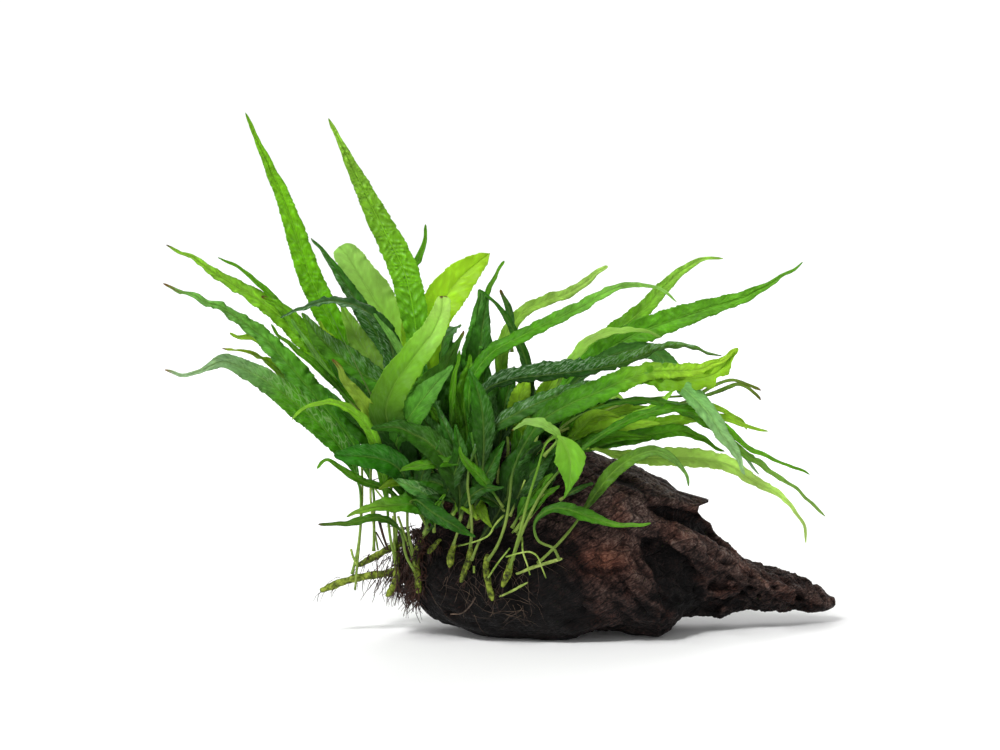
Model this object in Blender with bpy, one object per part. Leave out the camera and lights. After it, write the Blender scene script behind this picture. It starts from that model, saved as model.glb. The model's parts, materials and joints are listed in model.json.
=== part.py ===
"""Java fern grown on a piece of driftwood: one solid for the wood, each creeping stem, each frond.

Metres, +Z up, -Y towards the usual viewer. The origin is on the surface that the wood stands on,
in the middle of its flat foot.
"""

import math
from collections import namedtuple

import bmesh
import bpy
from mathutils import Vector, noise
from mathutils.bvhtree import BVHTree

MM = 0.001
GAP = 0.35 * MM  # air left between a piece and what it grows on

# Places on the plant are given as (right, up, back) in millimetres. Right and up are what a viewer
# sees who stands EYE_DISTANCE away and looks down by EYE_TILT; back is the depth along +Y.
EYE_DISTANCE = 1.400
EYE_TILT = math.radians(8.0)
AIM_HEIGHT = 0.1314
AIM_SEEN_AT = 0.1285  # height at which AIM_HEIGHT is seen above the origin

LOOK = Vector((0.0, math.cos(EYE_TILT), -math.sin(EYE_TILT)))
SEEN_UP = Vector((0.0, math.sin(EYE_TILT), math.cos(EYE_TILT)))
AIM = Vector((0.0, 0.0, AIM_HEIGHT))
EYE = AIM - LOOK * EYE_DISTANCE

# Driftwood: a lump with a long tail, its grain running down to the right. Its outline is given as
# the viewer sees it, by (right, up) points; its depth is measured along +Y.
WOOD_STATIONS = 56
WOOD_SIDES = 28
WOOD_TOP = ((-43.5, 27), (-42.5, 36), (-40.5, 46), (-36.5, 61), (-27, 77), (-14, 90), (2, 96.5),
            (21, 98), (40, 92.5), (54, 88), (66, 83.5), (86.5, 74.5), (95, 70.5), (101, 67.5),
            (103, 58), (107, 52), (110.5, 48), (117, 42), (122.5, 37), (130.5, 33.5),
            (141.5, 30.5), (149.5, 27), (157, 25), (160.5, 22), (164, 18.5), (167.5, 17.5))
WOOD_UNDER = ((-43.5, 24), (-42, 17.5), (-40, 13), (-35.5, 9), (-28, 4.5), (-20, 0.5), (-12, -3.5),
              (0, -6.5), (30, -7), (40, -4), (50, -2), (60, -2), (66, -4), (80, -4.5), (84, 0),
              (89.5, 5.5), (97, 6), (105.5, 7.5), (109.5, 6), (118.5, 10.5), (124.5, 12),
              (131, 9.5), (139, 10), (148, 11), (161.5, 10), (167.5, 13))
WOOD_HALF_DEPTH = ((-43.5, 5), (-42, 13), (-39, 20), (-30, 27), (-12, 33), (20, 36), (50, 35),
                   (80, 30), (100, 24), (110, 18), (120, 14.5), (140, 11), (155, 8), (164, 5),
                   (167.5, 2.5))
WOOD_MIDDLE = ((-45, 2), (0, 0), (60, 0), (80, 2), (100, 6), (120, 12), (140, 17), (167.5, 24))
WOOD_UNDERSIDE_SEEN = 0.35  # how far forward of the middle the under edge of its outline lies
WOOD_SQUARENESS = 2.15  # exponent of the cross-section's outline, 2 for an ellipse
WOOD_SHOULDER = 0.2  # how much narrower the wood is at its crest than at its waist
WOOD_LUMP = 3.0 * MM
WOOD_LUMP_SIZE = (34.0 * MM, 15.0 * MM, 15.0 * MM)
WOOD_RIPPLE = 1.5 * MM
WOOD_RIPPLE_SIZE = (13.0 * MM, 6.0 * MM, 6.0 * MM)
FLAKE_FROM = 60.0 * MM  # above this height the broken flake sticks out at the right
FLAKE_SPAN = (95.0 * MM, 102.0 * MM)
FLAKE_REACH = 4.0 * MM
WOOD_FULL_SWELL_AT = 20.0  # half height in millimetres from which the lumps have their full size
WOOD_LEAST_SWELL = 0.25

# Ridges and hollows on a face of the wood, each along a line of (right, up) millimetres
Band = namedtuple("Band", "line half_width height")
FRONT_BANDS = (
    Band(((28, 90), (60, 79), (78, 72), (102, 66)), 4.0, 3.0),
    Band(((78, 66), (92, 59), (106, 51)), 4.5, -7.5),
    Band(((52, 72), (73, 63), (97, 50), (110, 42), (123, 29), (142, 21)), 4.5, 4.0),
    Band(((76, 50), (86, 41), (97, 31), (106, 24)), 6.5, -8.5),
    Band(((50, 58), (60, 42), (72, 24), (82, 10)), 5.5, 2.5),
    Band(((40, 45), (50, 28), (60, 12)), 4.0, -2.5),
    Band(((90, 9), (104, 13), (118, 15)), 4.0, -5.0),
)
BACK_BANDS = (
    Band(((-20, 60), (20, 48), (60, 40), (100, 30)), 6.0, 4.0),
    Band(((-10, 42), (40, 28), (80, 18)), 6.5, -6.0),
    Band(((30, 78), (70, 62), (104, 48)), 5.0, -5.0),
    Band(((40, 14), (90, 12)), 5.0, 3.0),
)

# A creeping stem: where it is seen, what face of the wood it clings to, and its thickness
Stem = namedtuple("Stem", "name face radius line finish")
FREE, FRONT, BACK = "free", "front", "back"
STEMS = (
    Stem("rhizome_low_left", FREE, 2.3,
         ((-90, 20.5, -6), (-77.5, 25.5, -6), (-66.5, 28, -5), (-56, 29.5, -4), (-49, 31, -3)),
         "rhizome"),
    Stem("rhizome_high_left", FREE, 2.1,
         ((-71.5, 33, 3), (-62, 38, 3), (-54, 42.5, 1), (-48.5, 44, 0)), "rhizome"),
    Stem("rhizome_bright_end", FREE, 2.1,
         ((-52.5, 48, -8), (-52, 38, -10), (-51.5, 28.5, -12), (-53.5, 22, -13.5),
          (-57, 17.5, -14)), "rhizome"),
    Stem("rhizome_forked", FRONT, 2.2,
         ((-36.5, 48), (-38, 42), (-39.5, 35), (-39, 28), (-38.5, 21)), "rhizome"),
    Stem("rhizome_fork_branch", FRONT, 1.6, ((-28.5, 46.5), (-31.5, 43), (-34.5, 38.5)), "rhizome"),
    Stem("rhizome_stub_left", FRONT, 2.3, ((-21.5, 43.5), (-23.5, 38), (-24, 32.5)), "rhizome"),
    Stem("rhizome_hooked", FRONT, 1.9, ((-13.5, 43), (-15, 35.5), (-17.5, 30.5), (-19, 26)),
         "rhizome"),
    Stem("rhizome_front_long", FRONT, 1.9,
         ((-6, 39), (-7, 33), (-6, 27), (-4.5, 21), (-3, 16)), "rhizome"),
    Stem("rhizome_front_right", FRONT, 2.2, ((6.5, 38), (4.5, 30), (1.5, 23)), "rhizome"),
    Stem("cut_stalk_front", FRONT, 1.1, ((-0.3, 18), (5.5, 20.5), (14, 25.5)), "stalk_pale"),
    Stem("cut_stalk_right", FRONT, 1.5, ((8.2, 29), (17.5, 33), (31, 36.5)), "stalk_pale"),
    Stem("rhizome_crown_left", FRONT, 1.9,
         ((-34, 53.5), (-30, 61), (-24, 69), (-16, 76), (-8, 81)), "rhizome"),
    Stem("rhizome_crown_right", FRONT, 1.9,
         ((-12, 56), (-3, 62), (6, 68), (14, 75), (24, 80)), "rhizome"),
    Stem("rhizome_back", BACK, 1.9,
         ((-33, 58), (-20, 66), (-4, 74), (12, 79), (28, 78)), "rhizome"),
)
STEM_SIDES = 6
STEM_STEP = 4.0 * MM  # distance between a stem's rings
STEM_KNOB = 0.16  # how far its thickness swells and shrinks, as a share of its radius
STEM_KNOB_TURN = 2.4  # radians of that swelling from one ring to the next
STEM_END = 0.62  # how thick it is at its ends, as a share of its radius
STEM_FEWEST_RINGS = 4
STEM_RUN_POINTS = 8  # points for each run of its line
CLEARING_PASSES = 6
FAR_BEHIND = 400  # millimetres back from which the far face of the wood is met
BESIDE_WOOD = 15  # depth at which a place just past the wood's edge is taken

# A frond grows from a stem: (along, route) say where on the stem and the way to its tip
Frond = namedtuple("Frond", "name stem along stalk width face finish route blunt fold widest",
                   defaults=(1.0, 14.0, 0.36))
FRONDS = (
    Frond("leaf_tall_left", "rhizome_crown_left", 0.22, 44, 13.0, 12, "leaf_mid",
          ((-44, 78, -12), (-60, 113, 8), (-82.5, 151, 18), (-96, 181, 22), (-108, 216, 24),
           (-117, 236, 24), (-128, 259.5, 22))),
    Frond("leaf_tall_right", "rhizome_crown_left", 0.77, 40, 14.5, 10, "leaf_mid",
          ((-26, 92, -14), (-38, 122, -6), (-42, 151, -2), (-47, 178, -2), (-62, 208.5, -4),
           (-73.5, 232.5, -6), (-85.5, 257, -8))),
    Frond("leaf_hooked_left", "rhizome_back", 0.04, 34, 12.0, 25, "leaf_bright",
          ((-44, 76, 24), (-65, 111, 27), (-85, 134, 32), (-114, 161.5, 40), (-136.5, 176, 46),
           (-156, 188.5, 50), (-166, 195, 50))),
    Frond("leaf_crinkled_left", "rhizome_high_left", 0.42, 34, 12.0, 20, "leaf_dark",
          ((-63, 56, 3), (-64, 74, 4), (-77, 100, 2), (-93.5, 119, 0), (-107, 135.5, -1),
           (-123, 151.5, -2), (-139, 162, -3), (-154.5, 168.5, -4), (-168.5, 174.5, -4))),
    Frond("leaf_broad_left", "rhizome_crown_left", 0.04, 26, 14.5, 12, "leaf_mid",
          ((-42, 70, -14), (-58, 97, -2), (-75, 123.5, 6), (-87.5, 139, 9), (-104, 157, 10),
           (-119, 168.5, 10)), 0.8),
    Frond("leaf_arched", "rhizome_crown_left", 0.13, 34, 10.5, 48, "leaf_sheen",
          ((-43, 84, -22), (-52, 115, -15), (-53.5, 140, -12), (-63.5, 158, -12),
           (-79.5, 165, -14), (-95.5, 163.5, -18), (-109.5, 156.5, -24))),
    Frond("leaf_broad_low_left", "rhizome_low_left", 0.42, 48, 13.5, 15, "leaf_sheen",
          ((-71, 42, -10), (-69.5, 60, -12), (-72, 80, -18), (-85, 98.5, -27), (-103, 115, -34),
           (-119, 126.5, -39), (-139, 135, -44), (-155, 128.5, -48), (-168, 130.5, -50))),
    Frond("leaf_dark_upright_left", "rhizome_crown_left", 0.4, 34, 10.5, 20, "leaf_dark",
          ((-38, 88, -12), (-48, 112, 2), (-57.5, 141, 12), (-67.5, 158, 15), (-80, 179, 18),
           (-94, 197.5, 20))),
    Frond("leaf_blunt_pale", "rhizome_crown_left", 0.58, 34, 22.0, 5, "leaf_bright",
          ((-33, 92, -6), (-43, 122, 14), (-55, 152, 24), (-65, 170, 28), (-80, 193, 34)),
          0.35, 14.0, 0.5),
    Frond("leaf_yellow_top", "rhizome_crown_left", 0.87, 40, 19.0, 5, "leaf_young",
          ((-22, 96, -6), (-34, 125, 12), (-35, 152, 20), (-27, 168, 24), (-15, 181, 27),
           (-5, 189.5, 28)), 0.7, 14.0, 0.66),
    Frond("leaf_front_bright", "rhizome_crown_left", 0.49, 14, 18.0, 5, "leaf_young",
          ((-36, 68, -36), (-50, 90, -38), (-57, 114, -38), (-46, 133, -35), (-35, 148, -31),
           (-30, 159, -26), (-29.5, 168, -18)), 0.45, 20.0),
    Frond("leaf_brown_tip", "rhizome_crown_left", 0.67, 22, 11.5, 10, "leaf_mid",
          ((-36, 86, -26), (-44, 106, -25), (-38, 121, -23), (-27, 133, -22), (-22, 144, -23),
           (-18.5, 151, -23))),
    Frond("leaf_curled_small", "rhizome_bright_end", 0.1, 40, 8.0, 10, "leaf_young",
          ((-52, 52, -20), (-57, 84, -32), (-66, 111, -40), (-75, 123, -43), (-84, 136.5, -45)),
          0.8),
    Frond("leaf_strap_front_left", "rhizome_bright_end", 0.42, 38, 6.0, 30, "leaf_bright",
          ((-55, 48, -26), (-58, 75, -40), (-67, 104, -48), (-83, 114.5, -53), (-97, 112, -57),
           (-104, 106, -59))),
    Frond("leaf_oval_front", "rhizome_forked", 0.35, 42, 14.5, 20, "leaf_mid",
          ((-46, 50, -30), (-46.5, 66, -36), (-48, 78, -41), (-54.5, 84.5, -46), (-68, 88, -51),
           (-83, 87.5, -55)), 0.7, 14.0, 0.5),
    Frond("leaf_dark_arch_front", "rhizome_stub_left", 0.05, 20, 14.5, 25, "leaf_dark",
          ((-20, 56, -42), (-22, 78, -44), (-35, 94, -44), (-50, 101.5, -46), (-64.5, 101, -50)),
          0.8),
    Frond("leaf_low_yellow_tip", "rhizome_forked", 0.02, 10, 11.5, 35, "leaf_mid",
          ((-33, 56, -34), (-40, 63, -44), (-51, 63.5, -50), (-63, 62.5, -55), (-77, 58, -59))),
    Frond("leaf_knob_tip", "rhizome_forked", 0.62, 26, 4.5, 30, "leaf_mid",
          ((-47, 38, -26), (-50, 51, -34), (-60, 57, -41), (-76, 54.5, -47), (-91, 54, -50))),
    Frond("leaf_dark_centre", "rhizome_hooked", 0.35, 14, 14.0, 20, "leaf_dark",
          ((-10, 46, -39), (-3, 56, -41), (6, 72, -42), (13, 84, -43), (21.5, 94.5, -43))),
    Frond("leaf_upright_curled", "rhizome_crown_right", 0.04, 22, 12.5, 5, "leaf_dark",
          ((-14, 72, -34), (-18, 96, -24), (-17.5, 121, -12), (-13.5, 143.5, -6), (-11, 161, -3),
           (-10, 171.5, -2)), 0.7),
    Frond("leaf_strap_centre", "rhizome_crown_right", 0.57, 32, 5.5, 15, "leaf_dark",
          ((10, 84, -32), (14, 108, -18), (13.5, 133, -10), (8.5, 147, -8), (1, 160, -7),
           (-9.5, 171.5, -7))),
    Frond("leaf_arching_right_high", "rhizome_crown_right", 0.14, 32, 8.0, 25, "leaf_mid",
          ((-11, 80, -38), (-15, 108, -30), (-12, 132, -24), (8.5, 146.5, -23), (37, 161, -25),
           (59, 172, -28), (76, 173.5, -31), (88, 164.5, -34))),
    Frond("leaf_blunt_right", "rhizome_crown_right", 0.38, 50, 7.0, 20, "leaf_bright",
          ((4, 90, -30), (2, 108, -10), (1, 124, 8), (2, 145, 14), (13, 161, 19), (32, 169, 24),
           (54, 183, 28)),
          0.5),
    Frond("leaf_hooked_right", "rhizome_back", 0.84, 40, 9.5, 12, "leaf_bright",
          ((20, 98, 26), (32, 120, 28), (50, 143.5, 32), (70.5, 160, 38), (87, 177, 44),
           (102, 187, 48), (111.5, 188.5, 49))),
    Frond("leaf_long_right", "rhizome_crown_right", 0.75, 32, 13.5, 12, "leaf_mid",
          ((13, 96, -18), (24, 112, 0), (40, 131, 8), (66, 148, 11), (98, 160, 12),
           (125.5, 169, 12), (151.5, 185, 10)), 1.2),
    Frond("leaf_pale_arch", "rhizome_crown_right", 0.83, 46, 5.5, 40, "leaf_bright",
          ((17, 92, -26), (24, 112, -14), (34, 133, -7), (47, 147, -7), (67, 151, -9),
           (81, 147.5, -12))),
    Frond("leaf_folded_dark_right", "rhizome_crown_right", 0.26, 45, 13.0, 38, "leaf_sheen",
          ((-6, 84, -42), (-10, 108, -38), (-7, 122, -33), (8, 126.5, -30), (30, 129, -30),
           (60, 134, -33), (85, 143, -36), (111, 138, -40)), 1.1, 38.0, 0.3),
    Frond("leaf_dark_sweep_right", "rhizome_hooked", 0.05, 50, 9.0, 30, "leaf_sheen",
          ((-14, 56, -46), (-16, 78, -46), (-9, 97, -42), (14, 112, -39), (42, 122.5, -38),
           (70.5, 128.5, -39))),
    Frond("leaf_torn_bright_right", "rhizome_front_long", 0.12, 52, 12.5, 18, "leaf_young",
          ((0, 46, -47), (4, 60, -49), (7, 82, -47), (21, 105.5, -43), (47, 119, -42),
           (75, 130, -43), (100, 131, -46), (119, 141.5, -50)), 0.9),
    Frond("leaf_drooping_grey", "rhizome_crown_right", 0.48, 50, 8.5, 20, "leaf_sheen",
          ((10, 88, -24), (26, 112, -10), (50, 135, -2), (75, 141, 0), (88, 128, -2),
           (103.5, 112.5, -5), (117, 93.5, -7), (129.5, 78.5, -8))),
    Frond("leaf_wavy_right", "rhizome_front_right", 0.05, 56, 5.0, 25, "leaf_mid",
          ((12, 52, -49), (24, 74, -47), (50, 98, -44), (80, 111, -45), (103.5, 110, -47),
           (121, 94.5, -50), (142, 84.5, -53), (155, 78.5, -55))),
    Frond("leaf_long_drooping_right", "rhizome_crown_right", 0.66, 56, 5.5, 25, "leaf_mid",
          ((16, 86, -36), (36, 106, -28), (70, 116, -26), (98, 108, -27), (124, 88, -29),
           (142, 76, -30), (155, 66, -31), (163, 58, -31))),
    Frond("leaf_light_low_right", "rhizome_crown_right", 0.91, 36, 10.5, 20, "leaf_young",
          ((28, 88, -38), (44, 92, -32), (61.5, 88, -22), (88.5, 87, -14), (111, 85, -10),
           (126.5, 76, -8), (144, 65, -7), (153, 52, -7), (153.5, 44.5, -7)), 1.2),
    Frond("leaf_long_stalk_right", "cut_stalk_right", 0.5, 34, 7.0, 15, "leaf_mid",
          ((28, 43, -46), (37.5, 54, -50), (47, 68, -52), (60, 83, -53), (77, 90.5, -54),
           (88.5, 84.5, -57), (95, 73, -60))),
    Frond("leaf_arching_right_low", "cut_stalk_right", 0.92, 34, 6.5, 30, "leaf_bright",
          ((26, 42.5, -53), (18, 47, -56), (18, 56, -57), (28, 62, -58), (45, 57.5, -58),
           (60, 53.2, -58), (75.5, 54, -58))),
    Frond("leaf_folded_bright", "rhizome_front_right", 0.3, 52, 17.0, 10, "leaf_young",
          ((10, 50, -53), (14, 66, -56), (19, 82, -57), (23, 94, -58), (28.5, 98, -61),
           (33, 92, -65), (35, 84, -67), (34, 75, -67.5), (31.5, 66.5, -67)), 0.8, 14.0, 0.6),
    Frond("leaf_olive_broad", "rhizome_crown_right", 0.99, 14, 13.5, 12, "leaf_bright",
          ((30, 90, -30), (50, 97, -20), (62.5, 102, -15), (74, 109, -12), (86.5, 120.5, -10))),
    Frond("leaf_bright_middle", "rhizome_back", 0.66, 18, 12.5, 15, "leaf_bright",
          ((12, 96, 24), (30, 104, 18), (48, 108, 16), (64, 111, 16), (80, 113, 18))),
    Frond("leaf_dark_middle", "rhizome_crown_left", 0.97, 20, 12.5, 15, "leaf_dark",
          ((-14, 94, -24), (-24, 110, -16), (-26, 128, -13), (-24, 146, -11))),
    Frond("leaf_back_left", "rhizome_back", 0.16, 28, 13.0, 65, "leaf_mid",
          ((-36, 80, 40), (-50, 106, 54), (-66, 124, 70), (-84, 122, 90))),
    Frond("leaf_back_tall", "rhizome_back", 0.3, 34, 13.5, 55, "leaf_dark",
          ((-24, 92, 34), (-30, 122, 46), (-28, 146, 60), (-20, 154, 82))),
    Frond("leaf_back_middle", "rhizome_back", 0.44, 30, 13.5, 70, "leaf_mid",
          ((-8, 92, 38), (-8, 112, 56), (-4, 120, 78), (6, 108, 104))),
    Frond("leaf_back_right", "rhizome_back", 0.74, 30, 13.0, 65, "leaf_bright",
          ((18, 92, 38), (34, 112, 54), (54, 118, 74), (78, 104, 94))),
    Frond("leaf_back_low", "rhizome_back", 0.56, 20, 12.0, 70, "leaf_dark",
          ((4, 80, 46), (10, 84, 64), (24, 74, 84), (36, 54, 98))),
)
FROND_STATIONS = 14
STALK_THICKNESS = 1.3
STALK_RINGS = 4
STALK_LONGEST = 0.6  # most of a frond's length that its stalk may take
PINCH_LENGTH = 0.06  # half the length of a narrow waist, as a share of the blade
TIP_CROWDING = 0.12  # how much closer the rings stand at the tip
BLADE_THICKNESS = 0.9
BLADE_FULL_AT = 2.0  # millimetres past the stalk's half width at which the blade has its thickness
BLADE_SWELL = 1.4  # above 1 the blade widens slowly where it leaves the stalk
TOP_SIDE, UNDER_SIDE = 0.8, 1.2  # how far its two faces stand off its middle line, in half thicknesses
FROND_RUN_POINTS = 10
AHEAD = 0.02  # share of its length over which a frond's direction is taken
PINCHES = {  # a narrow waist: (how far along the blade, how much of the width is left)
    "leaf_arching_right_low": (0.72, 0.35),
    "leaf_folded_bright": (0.22, 0.45),
    "leaf_broad_low_left": (0.86, 0.5),
}
CLEARANCE = 0.45  # room kept round a frond for the ruffled blade
LEANS = tuple(range(-24, 25, 3))  # how far a frond may lean back or forward to clear the others

# The mat of hair roots under the stems at the left end of the wood
ROOTS_MIDDLE = (-54.5, 17.0, 0.5)
ROOTS_HALF = (7.5, 6.5)
ROOTS_TIPS = 11
# The mat's rings from the top down: (height, width at a hanging tip, width between tips)
ROOTS_RINGS = ((5.5, 0.55, 0.5), (3.0, 0.95, 0.9), (-1.0, 1.1, 0.95), (-4.0, 1.1, 0.6))
ROOTS_HANG = (6.5, 10.5)  # how far the shortest and the longest tips hang below the middle
ROOTS_UNEVENNESS = 1.9  # radians from one tip's share of that difference to the next one's
ROOTS_CAPS = (1.0, 2.0)  # how far the top and the underside rise at the middle

COLOURS = {
    "driftwood": ((0.035, 0.020, 0.016), 0.75),
    "rhizome": ((0.180, 0.260, 0.030), 0.5),
    "stalk_pale": ((0.460, 0.560, 0.160), 0.5),
    "roots": ((0.100, 0.050, 0.030), 0.8),
    "leaf_dark": ((0.020, 0.110, 0.012), 0.4),
    "leaf_mid": ((0.060, 0.270, 0.015), 0.4),
    "leaf_bright": ((0.200, 0.480, 0.030), 0.4),
    "leaf_young": ((0.340, 0.640, 0.030), 0.4),
    "leaf_sheen": ((0.110, 0.240, 0.100), 0.35),
}


def clear_scene():
    for obj in list(bpy.data.objects):
        bpy.data.objects.remove(obj)


def material(name):
    """The Principled material of this name, made the first time it is asked for."""
    found = bpy.data.materials.get(name)
    if found is None:
        colour, roughness = COLOURS[name]
        found = bpy.data.materials.new(name)
        found.use_nodes = True
        shader = found.node_tree.nodes["Principled BSDF"]
        shader.inputs["Base Color"].default_value = (*colour, 1.0)
        shader.inputs["Roughness"].default_value = roughness
        shader.inputs["Metallic"].default_value = 0.0
    return found


def add_object(name, bm, finish):
    mesh = bpy.data.meshes.new(name)
    bmesh.ops.recalc_face_normals(bm, faces=bm.faces)
    bm.to_mesh(mesh)
    bm.free()
    mesh.shade_smooth()
    obj = bpy.data.objects.new(name, mesh)
    bpy.context.scene.collection.objects.link(obj)
    obj.data.materials.append(material(finish))
    return obj


def seen(right, up, back):
    """The point at depth back that the viewer sees at (right, up), all in millimetres."""
    on_picture = AIM + Vector((right * MM, 0.0, 0.0)) + SEEN_UP * (up * MM - AIM_SEEN_AT)
    ray = on_picture - EYE
    return EYE + ray * ((back * MM - EYE.y) / ray.y)


def follow(points, x):
    """The height of a line of (x, height) points over x, in millimetres."""
    for (x0, h0), (x1, h1) in zip(points, points[1:]):
        if x <= x1:
            return h0 + (h1 - h0) * max(0.0, x - x0) / (x1 - x0)
    return points[-1][1]


def band_height(bands, x, z):
    """How far the bands raise the wood at (x, z) millimetres, less where they fall away."""
    total = 0.0
    for band in bands:
        nearest = min(distance_to_run((x, z), a, b) for a, b in zip(band.line, band.line[1:]))
        total += band.height * math.exp(-((nearest / band.half_width) ** 2))
    return total


def distance_to_run(point, start, end):
    p, a, b = Vector(point), Vector(start), Vector(end)
    share = max(0.0, min(1.0, (p - a).dot(b - a) / (b - a).length_squared))
    return (p - a - (b - a) * share).length


def scaled_noise(point, size):
    return noise.noise(Vector(p / s for p, s in zip(point, size)))


def wood_point(x, turn):
    """A point of the wood's surface in metres: x in millimetres, turn round it in radians."""
    depth, middle = follow(WOOD_HALF_DEPTH, x), follow(WOOD_MIDDLE, x)
    crest = seen(x, follow(WOOD_TOP, x), middle) / MM
    foot = seen(x, follow(WOOD_UNDER, x), middle - depth * WOOD_UNDERSIDE_SEEN) / MM
    top, under = crest.z, foot.z
    across, rise = math.cos(turn), math.sin(turn)
    side = math.copysign(abs(across) ** (2 / WOOD_SQUARENESS), across)
    lift = math.copysign(abs(rise) ** (2 / WOOD_SQUARENESS), rise)
    half_height = (top - under) / 2
    y = middle + depth * side * (1 - WOOD_SHOULDER * lift)
    z = (top + under) / 2 + half_height * lift
    bands = BACK_BANDS if side > 0 else FRONT_BANDS
    y += math.copysign(abs(side) ** 0.5, side) * band_height(bands, x, z)
    point = Vector((crest.x, y, z)) * MM
    out = Vector((0.0, side, lift)).normalized()
    swell = WOOD_LUMP * scaled_noise(point, WOOD_LUMP_SIZE)
    swell += WOOD_RIPPLE * scaled_noise(point, WOOD_RIPPLE_SIZE)
    swell *= min(1.0, half_height / WOOD_FULL_SWELL_AT + WOOD_LEAST_SWELL)
    point += out * swell
    if point.z > FLAKE_FROM and FLAKE_SPAN[0] < point.x < FLAKE_SPAN[1]:
        point.x += FLAKE_REACH * (point.x - FLAKE_SPAN[0]) / (FLAKE_SPAN[1] - FLAKE_SPAN[0])
    point.z = max(point.z, 0.0)
    return point


def close_rings(bm, rings):
    """Faces between the rings, and a flat cap at each end."""
    for ring, following in zip(rings, rings[1:]):
        count = len(ring)
        for i in range(count):
            j = (i + 1) % count
            bm.faces.new((ring[i], ring[j], following[j], following[i]))
    bm.faces.new(rings[0])
    bm.faces.new(rings[-1])


def make_wood():
    """The driftwood, lofted from left to right; its foot is flat where it stands."""
    first, last = WOOD_TOP[0][0], WOOD_TOP[-1][0]
    bm = bmesh.new()
    rings = []
    for i in range(WOOD_STATIONS):
        x = first + (last - first) * i / (WOOD_STATIONS - 1)
        turns = [2 * math.pi * k / WOOD_SIDES for k in range(WOOD_SIDES)]
        rings.append([bm.verts.new(wood_point(x, turn)) for turn in turns])
    close_rings(bm, rings)
    bmesh.ops.triangulate(bm, faces=bm.faces)
    return add_object("driftwood", bm, "driftwood")


def tree_of(obj):
    return BVHTree.FromPolygons([v.co for v in obj.data.vertices],
                                [p.vertices for p in obj.data.polygons])


def on_wood(wood_tree, face, place, radius):
    """A stem's centre where it clings to the wood: seen at place, or at that place on the back."""
    if face == FREE:
        return seen(*place)
    start = EYE if face == FRONT else seen(*place, FAR_BEHIND)
    towards = seen(*place, 0) - start
    hit, normal, _, _ = wood_tree.ray_cast(start, towards.normalized())
    if hit is None:
        depth = -BESIDE_WOOD if face == FRONT else BESIDE_WOOD
        hit, normal, _, _ = wood_tree.find_nearest(seen(*place, depth))
    return hit + normal * (radius + 2 * GAP)


def smooth_line(points, count_for):
    """Points a given number for each run along a smooth line through the given points."""
    ends = [points[0] * 2 - points[1], *points, points[-1] * 2 - points[-2]]
    line = []
    for before, a, b, after in zip(ends, ends[1:], ends[2:], ends[3:]):
        count = count_for(a, b)
        # Each point's weight falls with the root of its distance, so a sharp bend never loops
        t = [0.0]
        for p, q in ((before, a), (a, b), (b, after)):
            t.append(t[-1] + max((q - p).length, 1e-6) ** 0.5)
        for i in range(count):
            u = t[1] + (t[2] - t[1]) * i / count
            a1 = before.lerp(a, (u - t[0]) / (t[1] - t[0]))
            a2 = a.lerp(b, (u - t[1]) / (t[2] - t[1]))
            a3 = b.lerp(after, (u - t[2]) / (t[3] - t[2]))
            b1 = a1.lerp(a2, (u - t[0]) / (t[2] - t[0]))
            b2 = a2.lerp(a3, (u - t[1]) / (t[3] - t[1]))
            line.append(b1.lerp(b2, (u - t[1]) / (t[2] - t[1])))
    line.append(points[-1].copy())
    return line


def lengths_along(line):
    total = [0.0]
    for a, b in zip(line, line[1:]):
        total.append(total[-1] + (b - a).length)
    return total


def point_at(line, lengths, distance):
    for i, (start, end) in enumerate(zip(lengths, lengths[1:])):
        if distance <= end:
            return line[i].lerp(line[i + 1], (distance - start) / (end - start))
    return line[-1].copy()


def clear_of_wood(wood_tree, line, radius):
    """Moves each point of a line out until a round stem there clears the wood."""
    for _ in range(CLEARING_PASSES):
        for point in line:
            hit, normal, _, distance = wood_tree.find_nearest(point)
            inside = (point - hit).dot(normal) < 0
            needed = radius * (1 + STEM_KNOB) + GAP
            if inside or distance < needed:
                point += normal * (needed - (-distance if inside else distance))
    return line


def make_stem(stem, wood_tree):
    """A creeping stem with swollen joints; returns its object and the line down its middle."""
    radius = stem.radius * MM
    places = [on_wood(wood_tree, stem.face, place, radius) for place in stem.line]
    fine = smooth_line(places, lambda a, b: STEM_RUN_POINTS)
    lengths = lengths_along(fine)
    count = max(STEM_FEWEST_RINGS, round(lengths[-1] / STEM_STEP) + 1)
    line = [point_at(fine, lengths, lengths[-1] * i / (count - 1)) for i in range(count)]
    line = clear_of_wood(wood_tree, line, radius)
    bm = bmesh.new()
    rings = []
    for i, centre in enumerate(line):
        ahead = (line[min(i + 1, count - 1)] - line[max(i - 1, 0)]).normalized()
        side = ahead.cross(LOOK).normalized()
        over = side.cross(ahead)
        swell = 1 + STEM_KNOB * math.sin(STEM_KNOB_TURN * i + radius / MM)
        swell *= STEM_END if i in (0, count - 1) else 1.0
        turns = [2 * math.pi * k / STEM_SIDES for k in range(STEM_SIDES)]
        rings.append([bm.verts.new(centre + (side * math.cos(a) + over * math.sin(a))
                                   * radius * swell) for a in turns])
    close_rings(bm, rings)
    return add_object(stem.name, bm, stem.finish), line


def half_width(frond, share, length):
    """Half the frond's width in metres at a share of its length, from stalk to tip."""
    stalk = min(frond.stalk * MM / length, STALK_LONGEST)
    thin = STALK_THICKNESS / 2
    full = frond.width / 2
    if share <= stalk:
        return thin * MM
    t = (share - stalk) / (1 - stalk)
    if t < frond.widest:
        width = thin + (full - thin) * math.sin(math.pi / 2 * t / frond.widest) ** BLADE_SWELL
    else:
        fall = (t - frond.widest) / (1 - frond.widest)
        width = full * max(0.0, math.cos(math.pi / 2 * fall)) ** frond.blunt
    if frond.name in PINCHES:
        place, left = PINCHES[frond.name]
        width *= 1 - (1 - left) * math.exp(-(((t - place) / PINCH_LENGTH) ** 2))
    return width * MM


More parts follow.
